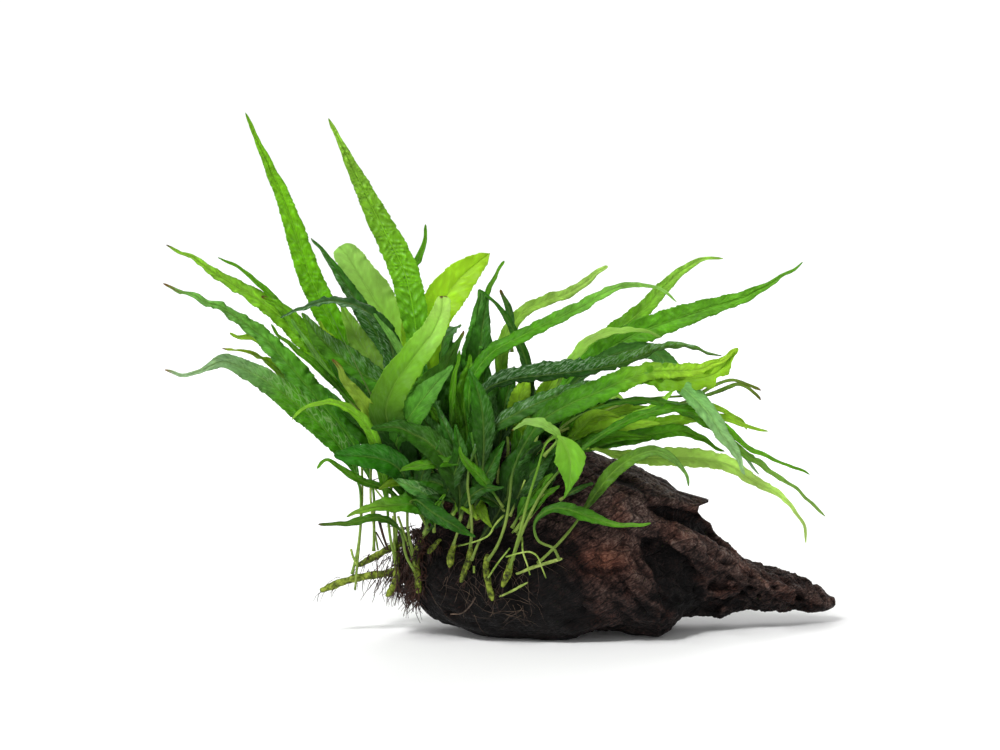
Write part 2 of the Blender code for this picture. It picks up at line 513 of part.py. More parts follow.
def frond_line(frond, start, stem_ahead, radius, lean_middle, lean_tip):
    """The frond's middle line from the skin of its stem to its tip, leaned back by millimetres."""
    places = []
    last = len(frond.route) - 1
    for i, (right, up, back) in enumerate(frond.route):
        share = i / last
        lean = lean_middle * math.sin(math.pi * share) + lean_tip * share
        places.append(seen(right, up, back + lean))
    leave = places[0] - start
    leave -= stem_ahead * leave.dot(stem_ahead)
    base = start + leave.normalized() * (radius * (1 + STEM_KNOB) + GAP)
    fine = smooth_line([base, *places], lambda a, b: FROND_RUN_POINTS)
    return fine, lengths_along(fine)


def station_shares(frond, length):
    """Where the rings stand: few along the stalk, most on the blade, close at the tip."""
    stalk = min(frond.stalk * MM / length, STALK_LONGEST)
    on_blade = FROND_STATIONS - STALK_RINGS
    shares = [stalk * i / STALK_RINGS for i in range(STALK_RINGS)]
    for i in range(on_blade):
        t = i / on_blade
        shares.append(stalk + (1 - stalk) * (t + TIP_CROWDING * math.sin(math.pi * t) * t))
    return shares


def frond_rings(frond, fine, lengths, grow):
    """Rings of four points (one edge, top, other edge, underside) and the tip."""
    length = lengths[-1]
    to_viewer = -LOOK
    tilt = math.radians(frond.face)
    facing = to_viewer * math.cos(tilt) + Vector((0.0, 0.0, 1.0)) * math.sin(tilt)
    fold = math.radians(frond.fold)
    rings = []
    for share in station_shares(frond, length):
        here = point_at(fine, lengths, share * length)
        back = point_at(fine, lengths, max(0.0, share - AHEAD) * length)
        on = point_at(fine, lengths, min(1.0, share + AHEAD) * length)
        ahead = (on - back).normalized()
        normal = (facing - ahead * facing.dot(ahead)).normalized()
        across = ahead.cross(normal)
        half = half_width(frond, share, length) + grow * MM
        blade = min(1.0, (half / MM - STALK_THICKNESS / 2) / BLADE_FULL_AT)
        thick = STALK_THICKNESS + (BLADE_THICKNESS - STALK_THICKNESS) * max(0.0, blade)
        thick = thick * MM / 2 + grow * MM
        reach = across * half * math.cos(fold * blade)
        rise = normal * half * math.sin(fold * max(0.0, blade))
        rings.append([here - reach + rise, here + normal * thick * TOP_SIDE,
                      here + reach + rise, here - normal * thick * UNDER_SIDE])
    return rings, fine[-1]


def frond_bmesh(rings, tip):
    bm = bmesh.new()
    made = [[bm.verts.new(point) for point in ring] for ring in rings]
    for ring, following in zip(made, made[1:]):
        for i in range(4):
            j = (i + 1) % 4
            bm.faces.new((ring[i], ring[j], following[j], following[i]))
    bm.faces.new(made[0])
    end = bm.verts.new(tip)
    for i in range(4):
        bm.faces.new((made[-1][i], made[-1][(i + 1) % 4], end))
    bmesh.ops.triangulate(bm, faces=bm.faces)
    return bm


def leans_by_size():
    pairs = [(middle, tip) for middle in LEANS for tip in LEANS]
    return sorted(pairs, key=lambda pair: (abs(pair[0]) + abs(pair[1]), pair))


def make_frond(frond, stem_line, radius, standing):
    """A frond that leans by as little as clears every piece already standing."""
    place = frond.along * (len(stem_line) - 1)
    before = min(int(place), len(stem_line) - 2)
    start = stem_line[before].lerp(stem_line[before + 1], place - before)
    stem_ahead = (stem_line[before + 1] - stem_line[before]).normalized()
    for lean_middle, lean_tip in leans_by_size():
        fine, lengths = frond_line(frond, start, stem_ahead, radius, lean_middle, lean_tip)
        swollen = frond_bmesh(*frond_rings(frond, fine, lengths, CLEARANCE))
        swollen_tree = BVHTree.FromBMesh(swollen)
        swollen.free()
        thin = frond_bmesh(*frond_rings(frond, fine, lengths, 0.0))
        thin_tree = BVHTree.FromBMesh(thin)
        own_stem, others = standing[frond.stem], standing.items()
        clear = not thin_tree.overlap(own_stem)
        clear = clear and not any(swollen_tree.overlap(tree) for name, tree in others
                                  if name != frond.stem)
        if clear:
            return add_object(frond.name, thin, frond.finish)
        thin.free()
    raise ValueError(frond.name + " has no room")


def make_roots():
    """The mat of hair roots: a lump whose underside is drawn out into hanging points."""
    bm = bmesh.new()
    sides = ROOTS_TIPS * 2
    middle = seen(*ROOTS_MIDDLE)
    wide, deep = (half * MM for half in ROOTS_HALF)
    rings = []
    for height, at_tip, between in ROOTS_RINGS:
        ring = []
        for k in range(sides):
            turn = 2 * math.pi * k / sides
            share = at_tip if k % 2 else between
            out = Vector((math.cos(turn) * wide * share, math.sin(turn) * deep * share,
                          height * MM))
            ring.append(bm.verts.new(middle + out))
        rings.append(ring)
    shortest, longest = ROOTS_HANG
    for k in range(1, sides, 2):
        vertex = rings[-1][k]
        share = abs(math.sin(ROOTS_UNEVENNESS * k))
        vertex.co.z = middle.z - MM * (shortest + (longest - shortest) * share)
    for ring, following in zip(rings, rings[1:]):
        for i in range(sides):
            j = (i + 1) % sides
            bm.faces.new((ring[i], ring[j], following[j], following[i]))
    cap_heights = (ROOTS_RINGS[0][0] + ROOTS_CAPS[0], ROOTS_RINGS[-1][0] + ROOTS_CAPS[1])
    for ring, height in zip((rings[0], rings[-1]), cap_heights):
        pole = bm.verts.new(middle + Vector((0.0, 0.0, height * MM)))
        for i in range(sides):
            bm.faces.new((ring[i], ring[(i + 1) % sides], pole))
    bmesh.ops.triangulate(bm, faces=bm.faces)
    return add_object("hair_roots", bm, "roots")


def main():
    clear_scene()
    wood = make_wood()
    wood_tree = tree_of(wood)
    standing = {"driftwood": wood_tree}
    stems = {}
    for stem in STEMS:
        obj, line = make_stem(stem, wood_tree)
        standing[stem.name] = tree_of(obj)
        stems[stem.name] = (line, stem.radius * MM)
    roots = make_roots()
    standing["hair_roots"] = tree_of(roots)
    for frond in FRONDS:
        line, radius = stems[frond.stem]
        standing[frond.name] = tree_of(make_frond(frond, line, radius, standing))


main()
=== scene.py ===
"""Java fern on driftwood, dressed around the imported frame.

Metres, +Z up, -Y towards the viewer. The wood, each creeping stem and each frond take the place of
their plain solids; short leaves, loose stalks and hair roots are added beside them.
"""

import json
import logging
import math
from collections.abc import Iterator
from contextlib import contextmanager
from dataclasses import dataclass, field
from enum import Enum
from functools import cache, partial

import bmesh
import bpy
import numpy as np
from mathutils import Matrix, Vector, noise
from mathutils.bvhtree import BVHTree


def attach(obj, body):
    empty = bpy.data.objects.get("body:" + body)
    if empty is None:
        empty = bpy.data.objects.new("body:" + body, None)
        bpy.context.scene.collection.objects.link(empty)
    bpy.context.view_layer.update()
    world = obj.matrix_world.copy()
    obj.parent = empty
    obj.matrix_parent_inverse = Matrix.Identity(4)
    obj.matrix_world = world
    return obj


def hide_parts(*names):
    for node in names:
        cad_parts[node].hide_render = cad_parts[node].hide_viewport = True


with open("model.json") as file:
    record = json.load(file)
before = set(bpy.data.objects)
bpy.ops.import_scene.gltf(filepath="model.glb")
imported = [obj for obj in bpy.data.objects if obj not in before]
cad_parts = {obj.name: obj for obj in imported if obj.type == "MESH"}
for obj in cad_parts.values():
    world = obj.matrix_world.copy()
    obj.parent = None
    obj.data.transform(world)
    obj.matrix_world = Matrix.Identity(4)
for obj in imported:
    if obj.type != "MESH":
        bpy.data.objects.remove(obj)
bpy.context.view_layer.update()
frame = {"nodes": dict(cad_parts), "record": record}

MM = 0.001
MERGE = 1e-6
BODY = "root"
LOG = logging.getLogger("java_fern")

EYE_DISTANCE = 1.400
EYE_TILT = math.radians(8.0)
AIM_HEIGHT = 0.1314
AIM_SEEN_AT = 0.1285
SENSOR = 36.0
VIEW_WIDTH = 0.500  # what the photograph shows from side to side at the origin's depth
GRAIN_TURN = math.radians(31.0)  # how far the wood's grain runs down to the right

LOOK = Vector((0.0, math.cos(EYE_TILT), -math.sin(EYE_TILT)))
SEEN_UP = Vector((0.0, math.sin(EYE_TILT), math.cos(EYE_TILT)))
AIM = Vector((0.0, 0.0, AIM_HEIGHT))
EYE = AIM - LOOK * EYE_DISTANCE

Rgb = tuple[float, float, float]
Place = tuple[float, float, float]
Rows = np.ndarray
Rng = np.random.Generator
Obj = bpy.types.Object


def linear(hex_colour: str) -> Rgb:
    """Turn an sRGB colour "#rrggbb" into linear red, green and blue from 0 to 1."""
    channels = [int(hex_colour[i:i + 2], 16) / 255 for i in (1, 3, 5)]
    return tuple(c / 12.92 if c <= 0.04045 else ((c + 0.055) / 1.055) ** 2.4 for c in channels)


def seen(right: float, up: float, back: float) -> Vector:
    """Find the point that the viewer sees at a place of the picture, at a given depth.

    Args:
        right: millimetres right of the origin as seen.
        up: millimetres above the origin as seen.
        back: depth along +Y in millimetres.

    Returns:
        The point in metres.
    """
    on_picture = AIM + Vector((right * MM, 0.0, 0.0)) + SEEN_UP * (up * MM - AIM_SEEN_AT)
    ray = on_picture - EYE
    return EYE + ray * ((back * MM - EYE.y) / ray.y)


def unit(rows: Rows) -> Rows:
    """Scale each row to length one."""
    return rows / np.maximum(np.linalg.norm(rows, axis=1, keepdims=True), 1e-12)


def dot(a: Rows, b: Rows) -> Rows:
    """Multiply rows by rows into one column."""
    return np.sum(a * b, axis=1, keepdims=True)


def fade(values: Rows, start: float, reach: float) -> Rows:
    """Rise from 0 at the start to 1 a reach further on; a negative reach rises downwards."""
    return np.clip((values - start) / reach, 0, 1)


def bell(values: Rows, width: float) -> Rows:
    """Fall from 1 at zero along a bell curve."""
    return np.exp(-((values / width) ** 2))


def spot(x: Rows, z: Rows, middle: tuple, size: tuple) -> Rows:
    """Fall from 1 at the middle of an upright oval along a bell curve."""
    return np.exp(-(((x - middle[0]) / size[0]) ** 2 + ((z - middle[1]) / size[1]) ** 2))


def eased(share: Rows) -> Rows:
    """Turn a straight rise from 0 to 1 into one that starts and ends gently."""
    return share * share * (3 - 2 * share)


def smooth_line(points: Rows, per_run: int) -> Rows:
    """Draw a smooth line through points, centripetal so that a sharp bend never loops.

    Args:
        points: the points, one a row.
        per_run: points for each run between two of them.

    Returns:
        The line's points, one a row.
    """
    ends = np.vstack([2 * points[0] - points[1], points, 2 * points[-1] - points[-2]])
    line = []
    for p0, p1, p2, p3 in zip(ends, ends[1:], ends[2:], ends[3:]):
        knots = [0.0]
        for a, b in ((p0, p1), (p1, p2), (p2, p3)):
            knots.append(knots[-1] + max(float(np.linalg.norm(b - a)), 1e-6) ** 0.5)
        t0, t1, t2, t3 = knots
        for t in t1 + (t2 - t1) * np.arange(per_run) / per_run:
            a1 = p0 + (p1 - p0) * (t - t0) / (t1 - t0)
            a2 = p1 + (p2 - p1) * (t - t1) / (t2 - t1)
            a3 = p2 + (p3 - p2) * (t - t2) / (t3 - t2)
            b1 = a1 + (a2 - a1) * (t - t0) / (t2 - t0)
            b2 = a2 + (a3 - a2) * (t - t1) / (t3 - t1)
            line.append(b1 + (b2 - b1) * (t - t1) / (t2 - t1))
    line.append(points[-1])
    return np.array(line)


def seen_line(route: tuple[Place, ...], per_run: int) -> Rows:
    """Draw a smooth line through (right, up, back) places in millimetres."""
    return smooth_line(np.array([seen(*place) for place in route], float), per_run)


def lengths_of(line: Rows) -> Rows:
    """Measure how far along a line each of its points lies."""
    return np.concatenate([[0.0], np.cumsum(np.linalg.norm(np.diff(line, axis=0), axis=1))])


def along(places: Rows, stations: Rows, rows: Rows) -> Rows:
    """Read rows of values at places between their stations."""
    return np.stack([np.interp(places, stations, column) for column in rows.T], axis=1)


def wander(places: Rows, pitch: float, rng: Rng) -> Rows:
    """Draw a smooth random line between -1 and 1.

    Args:
        places: where to read it.
        pitch: the distance between its knots.
        rng: the source of its knots.

    Returns:
        Its value at each place.
    """
    knots = rng.uniform(-1.0, 1.0, int(places.max() / pitch) + 4)
    at = places / pitch
    low = np.clip(at.astype(int), 0, len(knots) - 2)
    share = eased(at - low)
    return knots[low] * (1 - share) + knots[low + 1] * share


def crinkle(x: Rows, y: Rows, rng: Rng) -> Rows:
    """Draw a smooth random field between -1 and 1 over a surface.

    Args:
        x: places one way, in knots.
        y: places the other way, in knots.
        rng: the source of its knots.

    Returns:
        Its value at each place.
    """
    x, y = x - x.min(), y - y.min()
    knots = rng.uniform(-1.0, 1.0, (int(x.max()) + 2, int(y.max()) + 2))
    i, j = x.astype(int), y.astype(int)
    a, b = eased(x - i), eased(y - j)
    low = knots[i, j] * (1 - b) + knots[i, j + 1] * b
    high = knots[i + 1, j] * (1 - b) + knots[i + 1, j + 1] * b
    return low * (1 - a) + high * a


def lumps(points: Rows, size: float) -> Rows:
    """Read noise between -1 and 1 at points, with lumps of a size in metres."""
    return np.array([noise.noise(Vector(point) / size) for point in points])


def deselect() -> None:
    """Leave nothing selected and nothing active."""
    for obj in bpy.context.selected_objects:
        obj.select_set(False)
    bpy.context.view_layer.objects.active = None


def make_active(*objects: Obj) -> None:
    """Select some objects alone and make the last one active.

    Args:
        objects: the objects.
    """
    deselect()
    for obj in objects:
        obj.select_set(True)
    bpy.context.view_layer.objects.active = objects[-1]


@contextmanager
def edit_mode(obj: Obj, action: str | None = "SELECT") -> Iterator[None]:
    """Open an object's mesh in edit mode for as long as the block lasts.

    Args:
        obj: the object.
        action: "SELECT" or "DESELECT" for all of it, or none to keep what is selected.

    Yields:
        Nothing.
    """
    make_active(obj)
    bpy.ops.object.mode_set(mode="EDIT")
    if action:
        bpy.ops.mesh.select_all(action=action)
    yield
    bpy.ops.object.mode_set(mode="OBJECT")


def finish_modifier(obj: Obj, kind: str, **settings: object) -> None:
    """Add a modifier and apply it.

    Args:
        obj: the object.
        kind: the modifier's type.
        settings: its values.
    """
    make_active(obj)
    modifier = obj.modifiers.new(kind.title(), kind)
    for name, value in settings.items():
        setattr(modifier, name, value)
    bpy.ops.object.modifier_apply(modifier=modifier.name)


def new_object(name: str, data: bpy.types.ID) -> Obj:
    """Put a mesh, a light or a camera in the scene.

    Args:
        name: the object's name.
        data: what it shows.

    Returns:
        The object.
    """
    obj = bpy.data.objects.new(name, data)
    bpy.context.scene.collection.objects.link(obj)
    return obj


def points_of(obj: Obj) -> Rows:
    """Read an object's points.

    Args:
        obj: the object.

    Returns:
        One point a row.
    """
    flat = np.empty(len(obj.data.vertices) * 3, np.float32)
    obj.data.vertices.foreach_get("co", flat)
    return flat.reshape(-1, 3).astype(float)


def set_points(obj: Obj, points: Rows) -> None:
    """Move an object's points."""
    obj.data.vertices.foreach_set("co", points.astype(np.float32).ravel())
    obj.data.update()


def normals_of(obj: Obj) -> Rows:
    """Read the normal at each of an object's points."""
    return np.array([v.normal for v in obj.data.vertices], float)


def paint(obj: Obj, name: str, *channels: Rows | float) -> None:
    """Store a colour for each point, for the material to read.

    Args:
        obj: the object.
        name: the attribute's name.
        channels: red, green, blue and alpha as columns, or as one number for all points.
    """
    count = len(obj.data.vertices)
    columns = [np.full(count, c) if np.isscalar(c) else c for c in channels]
    layer = obj.data.color_attributes.new(name, "FLOAT_COLOR", "POINT")
    layer.data.foreach_set("color", np.column_stack(columns).astype(np.float32).ravel())


def dress(obj: Obj, finish: "Finish", slot: str, *nodes: str) -> None:
    """Give a finished piece its material and its body, and hide the nodes that it replaces.

    Args:
        obj: the piece.
        finish: its finish.
        slot: the record's material slot; not used.
        nodes: the nodes that it replaces.
    """
    obj.data.materials.clear()
    obj.data.materials.append(material_of(finish))
    obj.data.shade_smooth()
    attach(obj, BODY)
    if nodes:
        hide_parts(*nodes)
    LOG.info("%s: %d faces", obj.name, len(obj.data.polygons))


def feed(tree: bpy.types.NodeTree, node: bpy.types.Node, inputs: dict | tuple) -> None:
    """Give a node its inputs.

    Args:
        tree: the material's node tree.
        node: the node.
        inputs: by name or number, or in order, each a value, "#rrggbb", or a socket or node to read.
    """
    for name, value in inputs.items() if isinstance(inputs, dict) else enumerate(inputs):
        source = value.outputs[0] if isinstance(value, bpy.types.Node) else value
        if isinstance(source, bpy.types.NodeSocket):
            tree.links.new(source, node.inputs[name])
        else:
            source = (*linear(source), 1.0) if isinstance(source, str) else source
            node.inputs[name].default_value = source


def add_node(tree: bpy.types.NodeTree, kind: str, inputs: dict | tuple = (), *,
             stops: tuple[tuple[float, str], ...] = (), **settings: object) -> bpy.types.Node:
    """Add a shader node.

    Args:
        tree: the material's node tree.
        kind: the node's type, without its ShaderNode prefix.
        inputs: its inputs, as feed takes them.
        stops: a colour ramp's rising (place, "#rrggbb") pairs.
        settings: its own properties.

    Returns:
        The node.
    """
    node = tree.nodes.new("ShaderNode" + kind)
    for name, value in settings.items():
        setattr(node, name, value)
    feed(tree, node, inputs)
    elements = node.color_ramp.elements if stops else ()
    while len(elements) < len(stops):
        elements.new(0.5)
    for element, (place, colour) in zip(elements, stops):
        element.position = place
        element.color = (*linear(colour), 1.0)
    return node


def new_material(name: str) -> tuple[bpy.types.Material, bpy.types.NodeTree, bpy.types.Node]:
    """Make a material.

    Args:
        name: its name.

    Returns:
        The material, its node tree and its Principled shader.
    """
    material = bpy.data.materials.new(name)
    material.use_nodes = True
    return material, material.node_tree, material.node_tree.nodes["Principled BSDF"]


@dataclass(frozen=True)
class FernBlade:
    """Living fern leaf: a thin waxy skin over soft green tissue that lets some light through.

    The eye sees fine creases that slant out from the midrib, painted lighter on their tops and darker
    between, a painted grey highlight along the tops, a pale net of veins, and a warmer, lighter green where
    light comes from behind.
    """

    name: str
    roughness: float
    through: float  # share of the light that the leaf lets through
    crease_shading: float = 0.16  # how much lighter the tops and darker the creases are painted, as painted light and shade
    crease_mm: float = 1.3  # distance between creases along the leaf
    crease_run_mm: float = 1.5  # how far out from the midrib a crease runs
    net_mm: float = 2.4
    mottle_mm: float = 6.0
    crinkle_mm: float = 0.5  # depth of the creases
    patchy: float = 0.12  # how much lighter and darker its patches are
    dent_shade: float = 0.24  # how much painted shade darkens the dents against the bumps

    def build(self) -> bpy.types.Material:
        """Make the material.

        Returns:
            The material.
        """
        material, tree, shader = new_material(self.name)
        add = partial(add_node, tree)
        tint = add("Attribute", attribute_name="tint")
        form = add("Attribute", attribute_name="form")
        way = add("Attribute", attribute_name="way").outputs["Vector"]
        height, rib, dry = add("SeparateColor", (form,)).outputs[:3]
        mottle = add("TexNoise", {"Vector": add("TexCoord").outputs["Object"],
                                  "Scale": 1 / (self.mottle_mm * MM), "Detail": 3.0})
        # Creases and veins follow the leaf: "way" holds millimetres out from and along its midrib
        slanted = add("Mapping", {"Vector": way, "Scale": (
            1 / self.crease_run_mm, 1 / self.crease_mm, 1.0)})
        crease = add("TexNoise", {"Vector": slanted, "Scale": 1.0, "Detail": 4.0,
                                  "Roughness": 0.62, "Distortion": 0.4})
        spread = add("Mapping", {"Vector": way, "Scale": (
            1 / self.net_mm, 0.6 / self.net_mm, 1.0)})
        vein_gap = add("TexVoronoi", {"Vector": spread, "Scale": 1.0},
                       feature="DISTANCE_TO_EDGE").outputs["Distance"]
        # Painted light and shade: crease tops lighter, creases and dents darker; the broad patches are the
        # leaf's own tone
        tone = add("MapRange", (crease, 0.34, 0.66, 1 - self.crease_shading, 1 + self.crease_shading))
        lift = add("MapRange", (height, 0.0, 1.0, 1 - self.dent_shade, 1 + 0.8 * self.dent_shade))
        broad = add("MapRange", (mottle, 0.3, 0.7, 1 - self.patchy, 1 + self.patchy))
        shade = add("Math", (add("Math", (tone, lift), operation="MULTIPLY"), broad),
                    operation="MULTIPLY")
        toned = add("VectorMath", {0: tint, "Scale": shade}, operation="SCALE")
        vein = add("MapRange", (vein_gap, 0.0, 0.09, 1.0, 0.0))
        thread = add("Math", (vein, tint.outputs["Alpha"]), operation="MULTIPLY")
        netted = add("Mix", {0: thread, 6: toned, 7: "#9cc078"}, data_type="RGBA").outputs[2]
        ribbed = add("Mix", {0: rib, 6: netted, 7: "#b0d068"}, data_type="RGBA").outputs[2]
        withered = add("ValToRGB", (mottle,), stops=((0.3, "#3a2413"), (0.7, "#8a6a32")))
        coloured = add("Mix", {0: dry, 6: ribbed, 7: withered}, data_type="RGBA").outputs[2]
        # A painted grey highlight lies on the tops between the creases
        top = add("MapRange", (crease, 0.49, 0.62, 0.0, 1.0))
        glint = add("Math", (top, form.outputs["Alpha"]), operation="MULTIPLY")
        highlighted = add("Mix", {0: glint, 6: coloured, 7: "#88ac80"}, data_type="RGBA").outputs[2]
        skin = add("Math", (vein_gap, 0.5, crease), operation="MULTIPLY_ADD")
        bump = add("Bump", {"Height": skin, "Strength": 0.8, "Distance": self.crinkle_mm * MM})
        gloss = add("MapRange", (mottle, 0.3, 0.7, self.roughness - 0.07, self.roughness + 0.1))
        feed(tree, shader, {"Base Color": highlighted, "Roughness": gloss, "Normal": bump,
                            "IOR": 1.45, "Specular IOR Level": 0.17})
        glow = add("BsdfTranslucent", {"Color": coloured})
        mixed = add("MixShader", (self.through, shader, glow))
        feed(tree, tree.nodes["Material Output"], {"Surface": mixed})
        return material


@dataclass(frozen=True)
class StemSkin:
    """Creeping stem or stalk: a firm green skin, dull, with darker scars, pits and freckles."""

    name: str
    dark: str
    middle: str
    light: str
    patch_mm: float
    roughness: float = 0.5
    pit_mm: float = 0.2  # depth of its pits
    grain_mm: float = 0.9

    def build(self) -> bpy.types.Material:
        """Make the material.

        Returns:
            The material.
        """
        material, tree, shader = new_material(self.name)
        add = partial(add_node, tree)
        place = add("TexCoord").outputs["Object"]
        patch = add("TexNoise", {"Vector": place, "Scale": 1 / (self.patch_mm * MM),
                                 "Detail": 6.0, "Roughness": 0.72})
        grain = add("TexNoise", {"Vector": place, "Scale": 1 / (self.grain_mm * MM),
                                 "Detail": 4.0})
        colour = add("ValToRGB", (patch,), stops=(
            (0.38, self.dark), (0.5, self.middle), (0.64, self.light)))
        bump = add("Bump", {"Height": grain, "Strength": 1.0, "Distance": self.pit_mm * MM})
        feed(tree, shader, {"Base Color": colour, "Normal": bump, "Roughness": self.roughness,
                            "Specular IOR Level": 0.2})
        return material


@dataclass(frozen=True)
class BogWood:
    """Water-darkened driftwood: nearly black in its cracks, grey-brown on what is rubbed.

    The eye sees crumbly fibre that flakes along the grain, black cracks between the flakes, a
    reddish patch here and there, and small damp glints on the splinters.
    """

    name: str = "water_dark_driftwood"
    fibre_mm: float = 0.7
    stretch: float = 6.0  # how much longer a fibre is than it is wide
    flake_mm: float = 6.0
    patch_mm: float = 17.0
    crumb_mm: float = 1.3
    waver_mm: float = 3.0  # how far the rows of flakes stray
    relief_mm: float = 1.2  # depth of the cracks

    def build(self) -> bpy.types.Material:
        """Make the material.

        Returns:
            The material.
        """
        material, tree, shader = new_material(self.name)
        add = partial(add_node, tree)
        # The first channel is the wood's tone with painted shade and painted light in it
        wear_and_shade = add("Attribute", attribute_name="wear_and_shade")
        height, red, damp = add("SeparateColor", (wear_and_shade,)).outputs[:3]
        place = add("TexCoord").outputs["Object"]
        turned = add("Mapping", {"Vector": place, "Rotation": (0.0, GRAIN_TURN, 0.0)})
        drawn = add("Mapping", {"Vector": turned, "Scale": (1 / self.stretch, 1.0, 1.0)})
        fibre = add("TexNoise", {"Vector": drawn, "Scale": 1 / (self.fibre_mm * MM),
                                 "Detail": 3.0, "Roughness": 0.6})
        patch = add("TexNoise", {"Vector": place, "Scale": 1 / (self.patch_mm * MM),
                                 "Detail": 6.0, "Roughness": 0.6})
        crumb = add("TexNoise", {"Vector": place, "Scale": 1 / (self.crumb_mm * MM),
                                 "Detail": 5.0, "Roughness": 0.66})
        bent = add("VectorMath", {0: patch.outputs["Color"], "Scale": self.waver_mm * MM},
                   operation="SCALE")
        wavy = add("VectorMath", (drawn, bent), operation="ADD")
        flake_gap = add("TexVoronoi", {"Vector": wavy, "Scale": 1 / (self.flake_mm * MM)},
                        feature="DISTANCE_TO_EDGE").outputs["Distance"]
        crack = add("MapRange", (flake_gap, 0.0, 0.08, 0.0, 1.0))
        tone = add("Math", (height, add("MapRange", (crumb, 0.4, 0.6, -0.12, 0.12))),
                   operation="ADD")
        tone = add("Math", (tone, add("MapRange", (fibre, 0.4, 0.6, -0.13, 0.13))),
                   operation="ADD")
        base = add("ValToRGB", (tone,), stops=(
            (0.0, "#030202"), (0.28, "#120b0a"), (0.5, "#32231f"), (0.74, "#52403a"),
            (1.0, "#7f6f66")))
        warm = add("ValToRGB", (tone,), stops=(
            (0.0, "#0a0504"), (0.5, "#4c2a20"), (1.0, "#8f5c48")))
        reds = add("Math", (add("MapRange", (patch, 0.5, 0.68, 0.0, 0.5)), red),
                   operation="MAXIMUM")
        mixed = add("Mix", {0: reds, 6: base, 7: warm}, data_type="RGBA").outputs[2]
        deep = add("MapRange", (crack, 0.0, 1.0, 0.32, 1.0))
        cracked = add("VectorMath", {0: mixed, "Scale": deep}, operation="SCALE")
        relief = add("Math", (fibre, 0.6, crumb), operation="MULTIPLY_ADD")
        relief = add("Math", (crack, 0.5, relief), operation="MULTIPLY_ADD")
        bump = add("Bump", {"Height": relief, "Strength": 1.0, "Distance": self.relief_mm * MM})
        wet = add("Math", (damp, fibre), operation="MULTIPLY")
        gloss = add("MapRange", (wet, 0.1, 0.4, 0.8, 0.26))
        feed(tree, shader, {"Base Color": cracked, "Roughness": gloss, "Normal": bump,
                            "Specular IOR Level": 0.14})
        return material


@dataclass(frozen=True)
class RootFibre:
    """Hair root: a thin dry fibre, dull and brown, a little lighter here and there."""

    name: str
    dark: str
    light: str
    patch_mm: float = 5.0

    def build(self) -> bpy.types.Material:
        """Make the material.

        Returns:
            The material.
        """
        material, tree, shader = new_material(self.name)
        patch = add_node(tree, "TexNoise", {
            "Vector": add_node(tree, "TexCoord").outputs["Object"],
            "Scale": 1 / (self.patch_mm * MM), "Detail": 3.0})
        colour = add_node(tree, "ValToRGB", (patch,),
                          stops=((0.35, self.dark), (0.65, self.light)))
        feed(tree, shader, {"Base Color": colour, "Roughness": 0.75})
        return material


class Finish(Enum):
    """The finishes of the plant."""

    WAXY = FernBlade("fern_leaf_waxy", 0.4, 0.28, dent_shade=0.34)
    YOUNG = FernBlade("fern_leaf_young", 0.42, 0.42, 0.05, mottle_mm=14.0, crinkle_mm=0.12,
                      patchy=0.1, dent_shade=0.16)
    STALK = StemSkin("fern_stalk", "#4c6420", "#7f9a3c", "#a0b45c", 7.0)
    RHIZOME = StemSkin("fern_rhizome", "#23240c", "#5f6f1e", "#94a53a", 3.0, 0.6, 0.45)
    CUT = StemSkin("fern_cut_stalk", "#6f8236", "#93a850", "#b4c66e", 4.0)
    WOOD = BogWood()
    ROOT = RootFibre("hair_root_brown", "#120805", "#42200f")
    PALE_ROOT = RootFibre("hair_root_grey", "#2a1d16", "#6d5a4a")


@cache
def material_of(finish: Finish) -> bpy.types.Material:
    """Make the material of a finish, once."""
    return finish.value.build()


@dataclass
class Plant:
    """What every part of the plant is made from."""

    nodes: dict[str, Obj]  # the plain solids by name
    slots: dict[str, str]  # each solid's material slot


@dataclass(frozen=True)
class LeafLook:
    """How one leaf looks: its colours from stalk to tip and how its surface is formed."""

    low: str
    middle: str
    tip: str
    bump: float = 0.34  # height of the bumps, mm
    veined: float = 0.3  # how much the bumps keep to the side veins, against random wrinkles
    pitch: float = 4.4  # distance between side veins, mm
    ruffle: float = 0.6  # how far the margin waves, mm
    rib: float = 0.25  # how pale the midrib shows
    sheen: float = 0.0  # how strong a painted grey highlight lies on one side of the midrib
    sheen_side: int = 1
    dry_tip: float = 0.0  # share of the blade that is brown at the tip
    side_shade: float = 0.0  # how much painted shade darkens the side away from the painted highlight; below zero that side is painted lighter
    round_tip: float = 0.6  # below 1 rounds the tip
    young: bool = False
    torn: float = 0.0  # depth of tears in the margin, mm
    net: float = 0.08  # how pale the net of veins shows
    hook: float = 0.0  # how far the tip bends to its right side, mm
    low_share: float = 0.0  # share of the blade that keeps the low colour
    narrow_until: float = 0.0  # share of the blade that is drawn in to the midrib
    slender: float = 0.0  # how much narrower its outer half is
    bump_light: float = 0.3  # how strongly a painted highlight and painted shade mark the two sides of its bumps

    def glossy(self, u: Rows) -> Rows:
        """Find the share of painted highlight from one margin at -1 to the other at 1."""
        return np.clip(u * self.sheen_side * 3 + 0.5, 0, 1)


@dataclass(frozen=True)
class SmallLeaf:
    """A leaf too small, too thin or too hidden for a solid of its own."""

    name: str
    width: float  # its greatest width, mm
    look: LeafLook
    stalk: float  # the stalk's length, mm
    route: tuple[Place, ...]  # (right, up, back) from its stem to its tip, mm
    face: float = 20.0  # how far its upper side turns up from the viewer, degrees
    fold: float = 12.0  # how far each half is raised from flat, degrees


